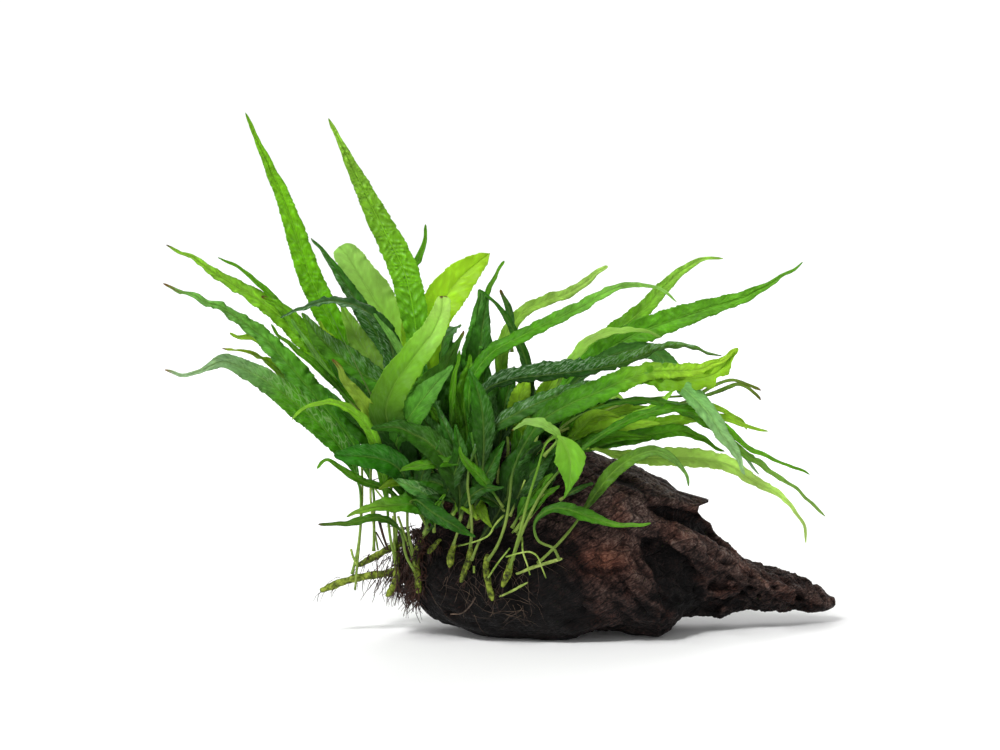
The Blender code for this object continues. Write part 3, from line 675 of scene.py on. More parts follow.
@dataclass
class Strip:
    """The way of a frond: its middle line with, at each station, its side and half width."""

    centre: Rows
    across: Rows
    rise: Rows  # up from the leaf, as long as the sine of its fold
    half: Rows
    blade_from: float  # distance along the line at which the blade starts
    stations: Rows = field(init=False)

    step = 1.0 * MM  # between the stations of a finer way
    per_run = 12  # points of the smooth line for each ring of the solid
    blade_half = 0.72 * MM  # a ring that is wider belongs to the blade
    widest_at = 0.4  # where along its blade a small leaf is widest

    def __post_init__(self) -> None:
        """Measure the line."""
        self.stations = lengths_of(self.centre)

    @property
    def length(self) -> float:
        """The whole length from stem to tip."""
        return float(self.stations[-1])

    def blade_share(self, s: Rows) -> Rows:
        """Turn metres along the way into 0 at the blade's start and 1 at its tip."""
        return (s - self.blade_from) / (self.length - self.blade_from)

    def at(self, s: Rows) -> tuple[Rows, Rows, Rows, Rows]:
        """Read the way.

        Args:
            s: metres along it.

        Returns:
            Its middle, the way to the leaf's right side, the way up from it, and its rise.
        """
        centre, side, lift = (along(s, self.stations, rows)
                              for rows in (self.centre, self.across, self.rise))
        ahead = along(s, self.stations, unit(np.gradient(self.centre, axis=0)))
        side = unit(side)
        side = unit(side - ahead * dot(side, ahead))
        over = np.cross(side, ahead)
        return centre, side, over * np.where(dot(over, lift) < 0, -1.0, 1.0), lift

    @classmethod
    def from_node(cls, node: Obj) -> "Strip":
        """Read a frond's way from its plain solid, ring by ring from the tip.

        Args:
            node: the solid.

        Returns:
            The way from stem to tip.
        """
        bm = bmesh.new()
        bm.from_mesh(node.data)
        bmesh.ops.remove_doubles(bm, verts=bm.verts, dist=MERGE)
        levels = cls.rings(bm)
        if levels is None:
            raise ValueError(node.name + " isn't made of rings")
        rings = [cls.opposites(level) for level in levels[1:]]
        tip = np.array(levels[0][0].co)
        bm.free()
        widest = max(range(len(rings)), key=lambda i: cls.spread(*cls.by_width(rings[i])[:2]))
        pairs: list = [None] * len(rings)
        pairs[widest] = cls.by_width(rings[widest])
        for i in [*range(widest - 1, -1, -1), *range(widest + 1, len(rings))]:
            pairs[i] = cls.like(rings[i], pairs[i + 1] if i < widest else pairs[i - 1])
        centre, across, rise, half = [tip], [], [], [0.0]
        for left, right, one, other in pairs:
            chord = (left + right) / 2
            up = chord - (one + other) / 2
            top, under = (one, other) if (one - other) @ up > 0 else (other, one)
            here = 0.6 * top + 0.4 * under
            reach, lift = (right - left) / 2, chord - here
            centre.append(here)
            half.append(float(np.hypot(np.linalg.norm(reach), np.linalg.norm(lift))))
            across.append(reach / np.linalg.norm(reach))
            rise.append((top - under) / np.linalg.norm(top - under)
                        * np.linalg.norm(lift) / half[-1])
        across.insert(0, across[0])
        rise.insert(0, rise[0])
        arrays = [np.array(rows[::-1]) for rows in (centre, across, rise, half)]
        first = max(int(np.argmax(arrays[3] > cls.blade_half)) - 1, 1)
        return cls(*arrays, float(lengths_of(arrays[0])[first])).refined()

    @staticmethod
    def rings(bm: bmesh.types.BMesh) -> list | None:
        """Sort a frond's points by how many edges lie between them and the tip.

        Args:
            bm: the frond's merged mesh.

        Returns:
            The tip alone, then rings of four, or nothing when the mesh has no such order.
        """
        for start in bm.verts:
            if len(start.link_edges) != 4:
                continue
            levels, met = [[start]], {start}
            while levels[-1]:
                following = []
                for vertex in levels[-1]:
                    for edge in vertex.link_edges:
                        other = edge.other_vert(vertex)
                        if other not in met:
                            met.add(other)
                            following.append(other)
                levels.append(following)
            levels.pop()
            if all(len(level) == 4 for level in levels[1:]):
                return levels
        return None

    @staticmethod
    def opposites(level: list) -> tuple:
        """Pair a ring's points that lie opposite each other.

        Args:
            level: four points of the mesh.

        Returns:
            Two of them that are opposite, then the other two.
        """
        for one in level[:2]:
            near = {edge.other_vert(one) for edge in one.link_edges}
            apart = [v for v in level if v is not one and v not in near]
            if len(apart) == 1:
                break
        other = apart[0] if apart else level[3]
        rest = [v for v in level if v not in (one, other)]
        return tuple(np.array(v.co, float) for v in (one, other, *rest))

    @staticmethod
    def spread(a: Rows, b: Rows) -> float:
        """Distance between two points."""
        return float(np.linalg.norm(a - b))

    @classmethod
    def by_width(cls, ring: tuple) -> tuple:
        """Put the pair that is farther apart first: those are the blade's margins."""
        a, b, c, d = ring
        return ring if cls.spread(a, b) > cls.spread(c, d) else (c, d, a, b)

    @staticmethod
    def like(ring: tuple, beside: tuple) -> tuple:
        """Order a ring's points as those of the ring beside it.

        Args:
            ring: two opposite points, then the other two.
            beside: an ordered ring.

        Returns:
            Left margin, right margin, and the two points between.
        """
        way = beside[1] - beside[0]
        way = way / np.linalg.norm(way)
        a, b, c, d = ring
        if abs((b - a) @ way) < abs((d - c) @ way):
            a, b, c, d = c, d, a, b
        return (a, b, c, d) if (b - a) @ way > 0 else (b, a, c, d)

    def refined(self) -> "Strip":
        """Draw the way smoothly, with stations a step apart.

        Returns:
            The finer way.
        """
        line = smooth_line(self.centre, self.per_run)
        index = np.arange(len(line)) / self.per_run
        coarse = np.arange(len(self.centre))
        lengths = lengths_of(line)
        places = np.linspace(0.0, lengths[-1], max(24, int(lengths[-1] / self.step)))
        at = np.interp(places, lengths, index)
        centre = along(places, lengths, line)
        across, rise = along(at, coarse, self.across), along(at, coarse, self.rise)
        width = smooth_line(np.stack([coarse, self.half], axis=1), self.per_run)
        half = np.maximum(np.interp(at, index, width[:, 1]), 0.0)
        half[-1] = 0.0
        ahead = unit(np.gradient(centre, axis=0))
        across = unit(across - ahead * dot(across, ahead))
        start = np.interp(self.blade_from, self.stations, coarse)
        return Strip(centre, across, rise, half, float(np.interp(start, at, places)))

    @classmethod
    def from_route(cls, leaf: SmallLeaf) -> "Strip":
        """Draw the way of a leaf that has no solid of its own.

        Args:
            leaf: the leaf.

        Returns:
            The way from stem to tip.
        """
        line, stalk = seen_line(leaf.route, 14), leaf.stalk * MM
        lengths = lengths_of(line)
        ahead = unit(np.gradient(line, axis=0))
        tilt = math.radians(leaf.face)
        facing = np.array(-LOOK * math.cos(tilt) + Vector((0, 0, 1)) * math.sin(tilt))
        normal = unit(facing - ahead * (ahead @ facing)[:, None])
        share = fade(lengths, stalk, max(lengths[-1] - stalk, MM))
        rising = np.sin(np.pi / 2 * fade(share, 0, cls.widest_at)) ** 1.2
        falling = np.cos(np.pi / 2 * fade(share, cls.widest_at, 1 - cls.widest_at)) ** 0.9
        half = (0.45 + (leaf.width / 2 - 0.45) * rising) * falling * MM
        return cls(line, np.cross(ahead, normal), normal * math.sin(math.radians(leaf.fold)),
                   half, stalk)


@dataclass
class Frond:
    """One frond: a stalk that runs on as the midrib, and a ruffled blade on both sides of it."""

    name: str
    strip: Strip
    look: LeafLook
    seed: int
    rng: Rng = field(init=False)
    column_step: float = 0.62 * MM
    row_step: float = 0.72 * MM
    thickness: float = 0.28 * MM
    stalk_sides: int = 8
    stalk_green: str = "#93a850"
    tip_from: float = 0.93  # share of the blade from which its tip is rounded
    blunt_half: float = 0.8 * MM  # the least half width just before the tip
    tooth_pitch: float = 3.3 * MM  # distance between the margin's teeth
    tooth_height: float = 0.4 * MM
    tooth_shift: float = 1.7 * MM  # how far the left side's teeth stand from the right side's
    vein_slant: float = 0.75  # how far towards the stem a row of bumps runs, for each step outwards
    tear_share: float = 0.45  # above this, the random line tears the margin
    cross_pitch: float = 3.3 * MM  # distance between the bumps of a row
    wrinkles_mm: tuple = ((1.0, 3.1, 1.9), (0.6, 1.7, 1.1))  # share, length and width of each kind
    smooth_rib: float = 0.7 * MM  # how far from the midrib the bumps start
    swell_high: float = 2.2  # the bumps' height in heights of the look
    wave_mm: tuple[float, float] = (10.5, 12.0)  # length of the margin's waves, right and left
    wave_high: float = 1.5  # their height in ruffles of the look
    groove: float = 0.28 * MM  # depth of the groove over the midrib
    groove_half: float = 0.45 * MM
    rib_half: float = 0.42 * MM  # how wide the pale midrib shows
    thin_half: float = 2.5 * MM  # below this half width, bumps and waves are smaller
    sway: float = 0.9 * MM  # how far the outer half strays sideways
    roll: float = 0.16  # how far the blade turns about its midrib
    margin_from: float = 0.93  # from here outwards the margin is a little paler
    stalk_radius: tuple = (1.0 * MM, 0.74 * MM, 0.66 * MM, 0.16 * MM)  # from its foot to the midrib's end
    stalk_foot: float = 2.5 * MM  # how far its thicker foot reaches
    midrib_until: float = 0.8  # share of the blade that the midrib runs through
    slant: float = 1.8  # how far along the leaf a crease runs for each step outwards
    crown: tuple[Place, Place] = ((-45, -18, 45), (18, -18, 70))  # the line that fronds rise from, mm
    crown_dark: float = 0.42
    crown_mm: tuple[float, float] = (16, 48)  # where its shade starts to end, and how far it fades

    def __post_init__(self) -> None:
        """Start the random draws."""
        self.rng = np.random.default_rng(self.seed)

    def wander(self, s: Rows, pitch_mm: float) -> Rows:
        """Draw a smooth random line along the leaf."""
        return wander(s, pitch_mm * MM, self.rng)

    def half_width(self, s: Rows, t: Rows) -> Rows:
        """Find how wide each half of the blade is before its margin is ragged.

        Args:
            s: metres along the way.
            t: from 0 at the blade's start to 1 at its tip.

        Returns:
            The half width in metres.
        """
        strip, look = self.strip, self.look
        half = np.interp(s, strip.stations, strip.half)
        if look.narrow_until:
            half = half * np.clip((t - look.narrow_until) / 0.22, 0.05, 1) ** 0.8
        half = half * (1 - look.slender * fade(t, 0.45, 0.35))
        tip_start = strip.blade_from + self.tip_from * (strip.length - strip.blade_from)
        end = fade(t, self.tip_from, 1 - self.tip_from)
        rounding = (1 - end * end) ** look.round_tip
        tip_half = np.interp(tip_start, strip.stations, strip.half)
        half = np.where(t > self.tip_from, tip_half * rounding, half)
        half = np.where(t > 0.4, np.maximum(half, self.blunt_half * rounding), half)
        return half * fade(t, 1.02, -0.36) ** 0.85 if look.narrow_until else half

    def margin(self, s: Rows, t: Rows, right: Rows, half: Rows) -> tuple[Rows, Rows]:
        """Make the margin ragged with waves, small teeth and tears.

        Args:
            s: metres along the way.
            t: from 0 at the blade's start to 1 at its tip.
            right: whether a point is right of the midrib.
            half: the half width in metres.

        Returns:
            The half width, and the slow random line that it follows.
        """
        edge = np.where(right, self.wander(s, 5), self.wander(s, 6))
        small = np.where(right, self.wander(s, 2.1), self.wander(s, 1.8))
        half = half * (1 + 0.05 * edge + (0.02 + 0.025 * self.look.ruffle) * small)
        tooth = np.where(right, s, s + self.tooth_shift) / self.tooth_pitch + 1.5 * edge
        tooth = 1 - (tooth % 1.0) * 1.3
        half = half + self.tooth_height * tooth * fade(half, 1.5 * MM, 3 * MM)
        tears = np.where(right, self.wander(s, 3), 0.0)
        tears = fade(tears, self.tear_share, 1) * self.look.torn
        return np.maximum(half - tears * MM * (t > 0.3), 0.0), edge

    def swell(self, u: Rows, s: Rows, half: Rows) -> Rows:
        """Raise the blade between its side veins, and wrinkle it.

        Args:
            u: from -1 at one margin to 1 at the other.
            s: metres along the way.
            half: the half width in metres.

        Returns:
            The height from 0 to 1.
        """
        look, size = self.look, abs(u)
        pitch = look.pitch * MM * (1 + 0.25 * self.wander(s, 14))
        phase = 2 * np.pi * (s - self.vein_slant * size * half) / pitch + np.where(u > 0, 1.3, 0.0)
        cross = 2 * np.pi * size * half / self.cross_pitch + 1.7 * self.wander(s, 7)
        veins = (0.5 + 0.5 * np.cos(phase + 0.6 * np.sin(phase)))
        veins = veins * (0.6 + 0.4 * np.cos(cross))
        skew = s - 0.9 * size * half
        wrinkles = sum(share * crinkle(skew / (long * MM), u * half / (wide * MM), self.rng)
                       for share, long, wide in self.wrinkles_mm)
        swell = look.veined * veins + (1 - look.veined) * np.clip(0.5 + 0.45 * wrinkles, 0, 1)
        swell *= 1 - size ** 6
        return swell * np.clip(size * half / self.smooth_rib, 0, 1)

    def surface(self, u: Rows, s: Rows) -> tuple[Rows, ...]:
        """Place the blade's points.

        Args:
            u: from -1 at one margin to 1 at the other.
            s: metres along the way.

        Returns:
            The points, their bump heights from 0 to 1, how far along the blade they are, and
            how far out from the midrib.
        """
        look, t, right, size = self.look, self.strip.blade_share(s), u > 0, abs(u)
        centre, side, over, lift = self.strip.at(s)
        over = unit(over)
        fold = np.arcsin(np.clip(np.linalg.norm(lift, axis=1), 0.0, 0.9))
        half = self.half_width(s, t)
        hooked = fade(t, 0.88, 0.12) ** 2 * look.hook * MM
        sway = self.sway * self.wander(s, 7) * fade(t, 0.55, 0.35)
        centre = centre + side * (hooked + sway)[:, None]
        half, edge = self.margin(s, t, right, half)
        blade = np.clip(half / self.thin_half, 0.0, 1.0)
        swell = self.swell(u, s, half)
        wave = np.sin(2 * np.pi * s / (np.where(right, *self.wave_mm) * MM) + 2.4 * edge
                      + np.where(right, 0.0, 2.0))
        ruffle = self.wave_high * look.ruffle * MM * size ** 2.4 * wave * blade
        groove = -self.groove * bell(u * half, self.groove_half) * blade
        height = self.swell_high * look.bump * MM * (swell - 0.35) * blade + ruffle + groove
        roll = self.roll * self.wander(s, 34) * blade
        angle = fold * np.where(half > 1.0 * MM, 1.0, 0.5)
        out = side * (u * half * np.cos(angle))[:, None]
        up = over * (size * half * np.sin(angle) + np.sin(roll) * u * half)[:, None]
        return centre + out + up + over * height[:, None], swell, t, u * half

    def colours(self, u: Rows, t: Rows, s: Rows) -> Rows:
        """Colour the blade's points.

        Args:
            u: from -1 at one margin to 1 at the other.
            t: from 0 at the blade's start to 1 at its tip.
            s: metres along the way.

        Returns:
            One colour a row.
        """
        look = self.look
        stops = np.array([linear(look.low), linear(look.middle), linear(look.tip)])
        places = np.array([look.low_share, 0.5 + 0.5 * look.low_share, 1.0])
        colour = along(np.clip(t, 0, 1), places, stops)
        colour = colour * (1 + 0.12 * self.wander(s, 16))[:, None]
        # Painted shade darkens the side away from the painted highlight
        colour = colour * (1 - look.side_shade * (1 - look.glossy(u)))[:, None]
        edge = np.clip(abs(u) - self.margin_from, 0, 1) / (1 - self.margin_from)
        edge = edge[:, None] * 0.3
        return np.clip(colour * (1 - edge) + colour * 1.5 * edge, 0.0, 1.0)

    def paint_bump_light(self, colour: Rows, swell: Rows, out: Rows, t: Rows) -> Rows:
        """Paint a highlight on the side of each bump that faces the tip and paint shade on the other.

        Args:
            colour: the blade's colours.
            swell: the bump heights, one row for each step along the blade.
            out: metres out from the midrib.
            t: from 0 at the blade's start to 1 at its tip.

        Returns:
            The colours.
        """
        facing = np.clip(-2.4 * np.gradient(swell, axis=0).ravel(), -1, 1)
        facing *= self.look.bump_light * (0.4 + 0.6 * bell(out, 3.6 * MM))
        facing = (facing * np.clip((1.1 - t) * 1.6, 0, 1))[:, None]
        # The side towards the tip gets a pale painted highlight, the other side painted shade
        pale = np.array(linear("#b4d49c"))
        lit = np.clip(facing, 0, 1) * 0.6
        return colour * (1 + 0.7 * np.clip(facing, -1, 0)) * (1 - lit) + pale * lit

    def crown_shade(self, points: Rows) -> Rows:
        """Find how much painted shade darkens a leaf near the crown, where the leaves shade each other.

        Args:
            points: the leaf's points.

        Returns:
            A share from the darkest to 1, one a row.
        """
        start, end = (np.array(place) * MM for place in self.crown)
        run = end - start
        share = np.clip((points - start) @ run / (run @ run), 0, 1)
        gap = np.linalg.norm(points - start - share[:, None] * run, axis=1)
        light = fade(gap / MM, *self.crown_mm)
        return (self.crown_dark + (1 - self.crown_dark) * light)[:, None]

    def paint_way(self, obj: Obj, out: Rows, s: Rows) -> None:
        """Store where each point lies on the leaf, in millimetres, for its creases and veins."""
        paint(obj, "way", out / MM, (s - self.slant * abs(out)) / MM, 7.3 * self.seed, 1.0)

    def blade(self) -> Obj:
        """Make the blade.

        Returns:
            Its object.
        """
        strip, look = self.strip, self.look
        start = strip.blade_from * 0.92  # it starts as a thin strip on the stalk
        rows = max(16, int((strip.length - start) / self.row_step))
        columns = 2 * max(4, int(float(strip.half.max()) / self.column_step))
        deselect()
        bpy.ops.mesh.primitive_grid_add(x_subdivisions=columns, y_subdivisions=rows, size=2)
        obj = bpy.context.active_object
        obj.name = obj.data.name = self.name
        flat = points_of(obj)
        u, v = flat[:, 0], (flat[:, 1] + 1) / 2
        s = start + (strip.length - start) * (v + 0.04 * np.sin(np.pi * v))
        s = np.clip(s, start, strip.length)
        points, swell, t, out = self.surface(u, s)
        set_points(obj, points)
        colour = self.paint_bump_light(self.colours(u, t, s), swell.reshape(rows + 1, -1), out, t)
        rib = bell(out, self.rib_half) * look.rib * (t < 0.97) * np.clip((1 - t) * 3, 0, 1)
        ragged = 0.5 * look.dry_tip * (1 + 0.6 * np.sin(u * 5))
        dry = np.clip((t - 1 + ragged * 2) / np.maximum(ragged, 1e-3), 0, 1) * (ragged > 0)
        # The form's last channel holds the share of painted highlight; the tint is darkened by painted
        # shade near the crown
        glossy = look.glossy(u)
        paint(obj, "tint", colour * self.crown_shade(points), look.net * np.maximum(glossy, 0.3))
        paint(obj, "form", swell, rib, dry, glossy * look.sheen)
        self.paint_way(obj, out, s)
        finish_modifier(obj, "SOLIDIFY", thickness=self.thickness, offset=0.0)
        return obj

    def stalk(self) -> Obj:
        """Make the stalk, which thins into the midrib under the blade.

        Returns:
            Its object.
        """
        strip = self.strip
        end = strip.blade_from + self.midrib_until * (strip.length - strip.blade_from)
        deselect()
        bpy.ops.mesh.primitive_cylinder_add(vertices=self.stalk_sides, radius=1, depth=2,
                                            end_fill_type="TRIFAN")
        obj = bpy.context.active_object
        with edit_mode(obj, "DESELECT"):
            pass
        for edge in obj.data.edges:
            low, high = (obj.data.vertices[i].co.z for i in edge.vertices)
            edge.select = abs(low - high) > 1.0
        with edit_mode(obj, None):
            bpy.ops.mesh.select_mode(type="EDGE")
            bpy.ops.mesh.subdivide_edgering(number_cuts=max(10, int(end / (2.0 * MM))))
        flat = points_of(obj)
        s = end * ((flat[:, 2] + 1) / 2)
        centre, side, over, _ = strip.at(s)
        radius = np.interp(s, (0.0, self.stalk_foot, strip.blade_from, end), self.stalk_radius)
        radius = radius * (1 + 0.07 * self.wander(s, 6))
        under = fade(s, strip.blade_from * 0.9, 8 * MM) * 0.5
        points = centre + side * (flat[:, 0] * radius)[:, None]
        points += over * ((flat[:, 1] - under) * radius)[:, None]
        set_points(obj, points)
        with edit_mode(obj):
            bpy.ops.mesh.normals_make_consistent(inside=False)
        low = np.array(linear(self.stalk_green)) * 0.75 + np.array(linear(self.look.low)) * 0.25
        blade = self.colours(np.zeros(len(s)), np.clip(strip.blade_share(s), 0.0, 1.0), s)
        mix = fade(s / strip.blade_from, 0.55, 0.45)[:, None]
        # Painted shade near the crown darkens the stalk where it runs into the blade
        paint(obj, "tint", low * (1 - mix) + blade * mix * self.crown_shade(points), 0.0)
        paint(obj, "form", 0.5, 0.12, 0.0, 0.0)
        self.paint_way(obj, flat[:, 0] * radius, s)
        return obj

    def build(self) -> Obj:
        """Make the frond as one piece.

        Returns:
            Its object.
        """
        stalk, blade = self.stalk(), self.blade()
        make_active(stalk, blade)
        bpy.ops.object.join()
        blade.name = blade.data.name = self.name
        return blade


DARK = LeafLook("#1c4602", "#2a6400", "#347c04", sheen=0.15, rib=0.14)
MID = LeafLook("#3a7e02", "#529a04", "#66ac10", rib=0.2)
BRIGHT = LeafLook("#6cac0c", "#8cc61c", "#a4d434", bump=0.2)
YOUNG = LeafLook("#86c81c", "#a6dc30", "#bce84c", bump=0.1, ruffle=0.5, rib=0.3, young=True)
SHEEN = LeafLook("#22560a", "#2c6c0c", "#3c7e1c", sheen=0.7, bump=0.42, rib=0.12)
SLOT_LOOKS = {"leaf_dark": DARK, "leaf_mid": MID, "leaf_bright": BRIGHT, "leaf_young": YOUNG,
              "leaf_sheen": SHEEN}

LEAF_LOOKS = {
    "tall_left": LeafLook("#50ac00", "#74c404", "#88cc20", bump=0.36, veined=0.6, rib=0.08, bump_light=0.5),
    "tall_right": LeafLook("#60c004", "#84d014", "#9cd040", bump=0.6, veined=0.8, ruffle=0.7, rib=0.08,
        sheen=0.12, sheen_side=0, bump_light=0.75),
    "hooked_left": LeafLook("#64b008", "#80c418", "#94cc38", bump=0.24, ruffle=0.8, dry_tip=0.02, hook=1.6),
    "crinkled_left": LeafLook("#3c8c0c", "#5ca822", "#7cb854", bump=0.4, ruffle=1.25, sheen=0.2,
        dry_tip=0.06, bump_light=0.45, slender=0.2),
    "broad_left": LeafLook("#4c9c08", "#62ac10", "#74b81c", ruffle=0.8, rib=0.3, dry_tip=0.02),
    "arched": LeafLook("#225c06", "#2e6c0c", "#4a7a44", sheen=0.85, side_shade=0.25, bump=0.42),
    "broad_low_left": LeafLook("#3f9406", "#58a410", "#a8c89c", sheen=0.15, rib=0.3, dry_tip=0.03, bump=0.4,
        net=0.6),
    "dark_upright_left": LeafLook("#205806", "#2e6c0e", "#3e7c20", sheen=0.6, rib=0.1, sheen_side=-1),
    "blunt_pale": LeafLook("#76b41c", "#a0d24c", "#b0de70", bump=0.07, ruffle=0.5, rib=0.08, round_tip=0.35,
        young=True),
    "yellow_top": LeafLook("#9cd01c", "#b8e62c", "#bcea30", bump=0.14, veined=0.7, pitch=3.6, ruffle=0.5,
        young=True, round_tip=1.4),
    # front_bright's dark low colour is painted shade where it rises from the crown
    "front_bright": LeafLook("#1a4a02", "#8cd030", "#c4ec74", bump=0.1, ruffle=0.5, rib=0.1, round_tip=0.4,
        young=True, low_share=0.36, dry_tip=0.012),
    "brown_tip": LeafLook("#3c8008", "#54981a", "#56902a", dry_tip=0.05),
    "curled_small": LeafLook("#74aa14", "#9ac434", "#8ca63c", ruffle=1.2, bump=0.3, dry_tip=0.07,
        young=True),
    "strap_front_left": LeafLook("#5aa40c", "#7cc020", "#8ecb2c", bump=0.14),
    "oval_front": LeafLook("#1c5a00", "#246e00", "#2e7c08", sheen=0.1, rib=0.1, bump=0.2),
    "dark_arch_front": LeafLook("#244e04", "#2e6004", "#2f6a0a", bump=0.22, sheen=0.1, rib=0.35),
    "low_yellow_tip": LeafLook("#2c7404", "#4f9c14", "#8cbc38", ruffle=0.5, bump=0.24),
    "knob_tip": LeafLook("#3f8008", "#5c9c1c", "#4a6c1c", dry_tip=0.04),
    "upright_curled": LeafLook("#34780c", "#4c9c20", "#549430", ruffle=1.0, bump=0.42, sheen=0.2,
        bump_light=0.4, round_tip=0.35),
    "folded_dark_right": LeafLook("#184e04", "#266608", "#6aa42c", sheen=1.0, bump=0.5, side_shade=0.5,
        ruffle=0.7, sheen_side=-1, bump_light=0.5),
    "long_right": LeafLook("#46940a", "#66b01c", "#70b828", bump=0.46, veined=0.4, ruffle=0.8, rib=0.08),
    "dark_sweep_right": LeafLook("#2a600a", "#387414", "#4a8828", sheen=0.9, bump=0.42, bump_light=0.5),
    "torn_bright_right": LeafLook("#245c04", "#549c10", "#bcec3c", bump=0.22, ruffle=1.0, rib=0.2,
        torn=4.5),
    "light_low_right": LeafLook("#b0e448", "#ccf078", "#ccec80", bump=0.1, rib=0.15, young=True,
        slender=0.35),
    "folded_bright": LeafLook("#78b42c", "#86c238", "#72bc28", bump=0.1, rib=0.5, young=True,
        narrow_until=0.45),
    "olive_broad": LeafLook("#98d828", "#acec3c", "#b0ec50", bump=0.16, rib=0.15, young=True),
    "dark_centre": LeafLook("#143804", "#1c4c04", "#265a08", bump=0.22, sheen=0.08),
    "arching_right_low": LeafLook("#34780a", "#559c1a", "#6cb026", bump=0.14, rib=0.3),
    "long_stalk_right": LeafLook("#48780e", "#689c26", "#78ac50", bump=0.14, rib=0.2),
    "drooping_grey": LeafLook("#2c6c0c", "#5c9c3c", "#8cb880", sheen=0.4, bump=0.3),
    "hooked_right": LeafLook("#58a80c", "#7cc020", "#a8dc54", bump=0.2, bump_light=0.2, hook=-2.0),
    "blunt_right": LeafLook("#5ca00c", "#98cc40", "#b4de68", bump=0.16, round_tip=0.4),
    "pale_arch": LeafLook("#9cd848", "#b8e468", "#a4d858", bump=0.1, rib=0.15, young=True),
    "arching_right_high": LeafLook("#348404", "#5aa810", "#96d05c", bump=0.2, rib=0.12),
    "long_drooping_right": LeafLook("#3a8008", "#5ca018", "#9cc85c", bump=0.3, ruffle=0.9, slender=0.2),
    "dark_middle": LeafLook("#143c04", "#1e5004", "#285c08", bump=0.28, sheen=0.1),
}

OLIVE = LeafLook("#4f7a1a", "#5f8a24", "#7a8a2c", dry_tip=0.05)
GREY_UNDER = LeafLook("#2f7c14", "#4f9838", "#6cac4c", sheen=0.4, bump=0.3, net=0.5)
PALE_UNDER = LeafLook("#8cc04a", "#9acc5c", "#a0c868", bump=0.06, ruffle=0.4, rib=0.1, torn=2.5,
    dry_tip=0.03, young=True)
STREAKED = LeafLook("#2c6c02", "#3c7a06", "#548a20", sheen=0.5, side_shade=-0.4, bump=0.3, rib=0.1)
GREY_SMOOTH = LeafLook("#2c6c08", "#4f9422", "#66a840", bump=0.12, rib=0.08, bump_light=0.1)
MID_DARK = LeafLook("#265c04", "#36780e", "#3c7c1e", bump=0.36, sheen=0.15, round_tip=0.3)
DEEP = LeafLook("#1e5a00", "#2a6c04", "#327408", bump=0.2, rib=0.12)
NETTED = LeafLook("#6aa82c", "#94c44c", "#8cc838", bump=0.12, net=0.5, young=True)
TORN_YOUNG = LeafLook("#4c9a10", "#92cc24", "#b4e438", bump=0.3, ruffle=1.4, rib=0.1, torn=5.0, young=True)
GREY_PALE = LeafLook("#4c9c28", "#8cc870", "#a8d490", sheen=0.12, bump=0.24, net=0.3, rib=0.3)
OLIVE_TIP = LeafLook("#2c7c10", "#5cac18", "#b8d82c", dry_tip=0.02, round_tip=0.35)
PALE_LEFT = LeafLook("#5ea024", "#78b44c", "#6cb040", bump=0.1, rib=0.1)
BROWN_TIP = LeafLook("#2c6c16", "#3a7a24", "#3a5a1c", dry_tip=0.12)

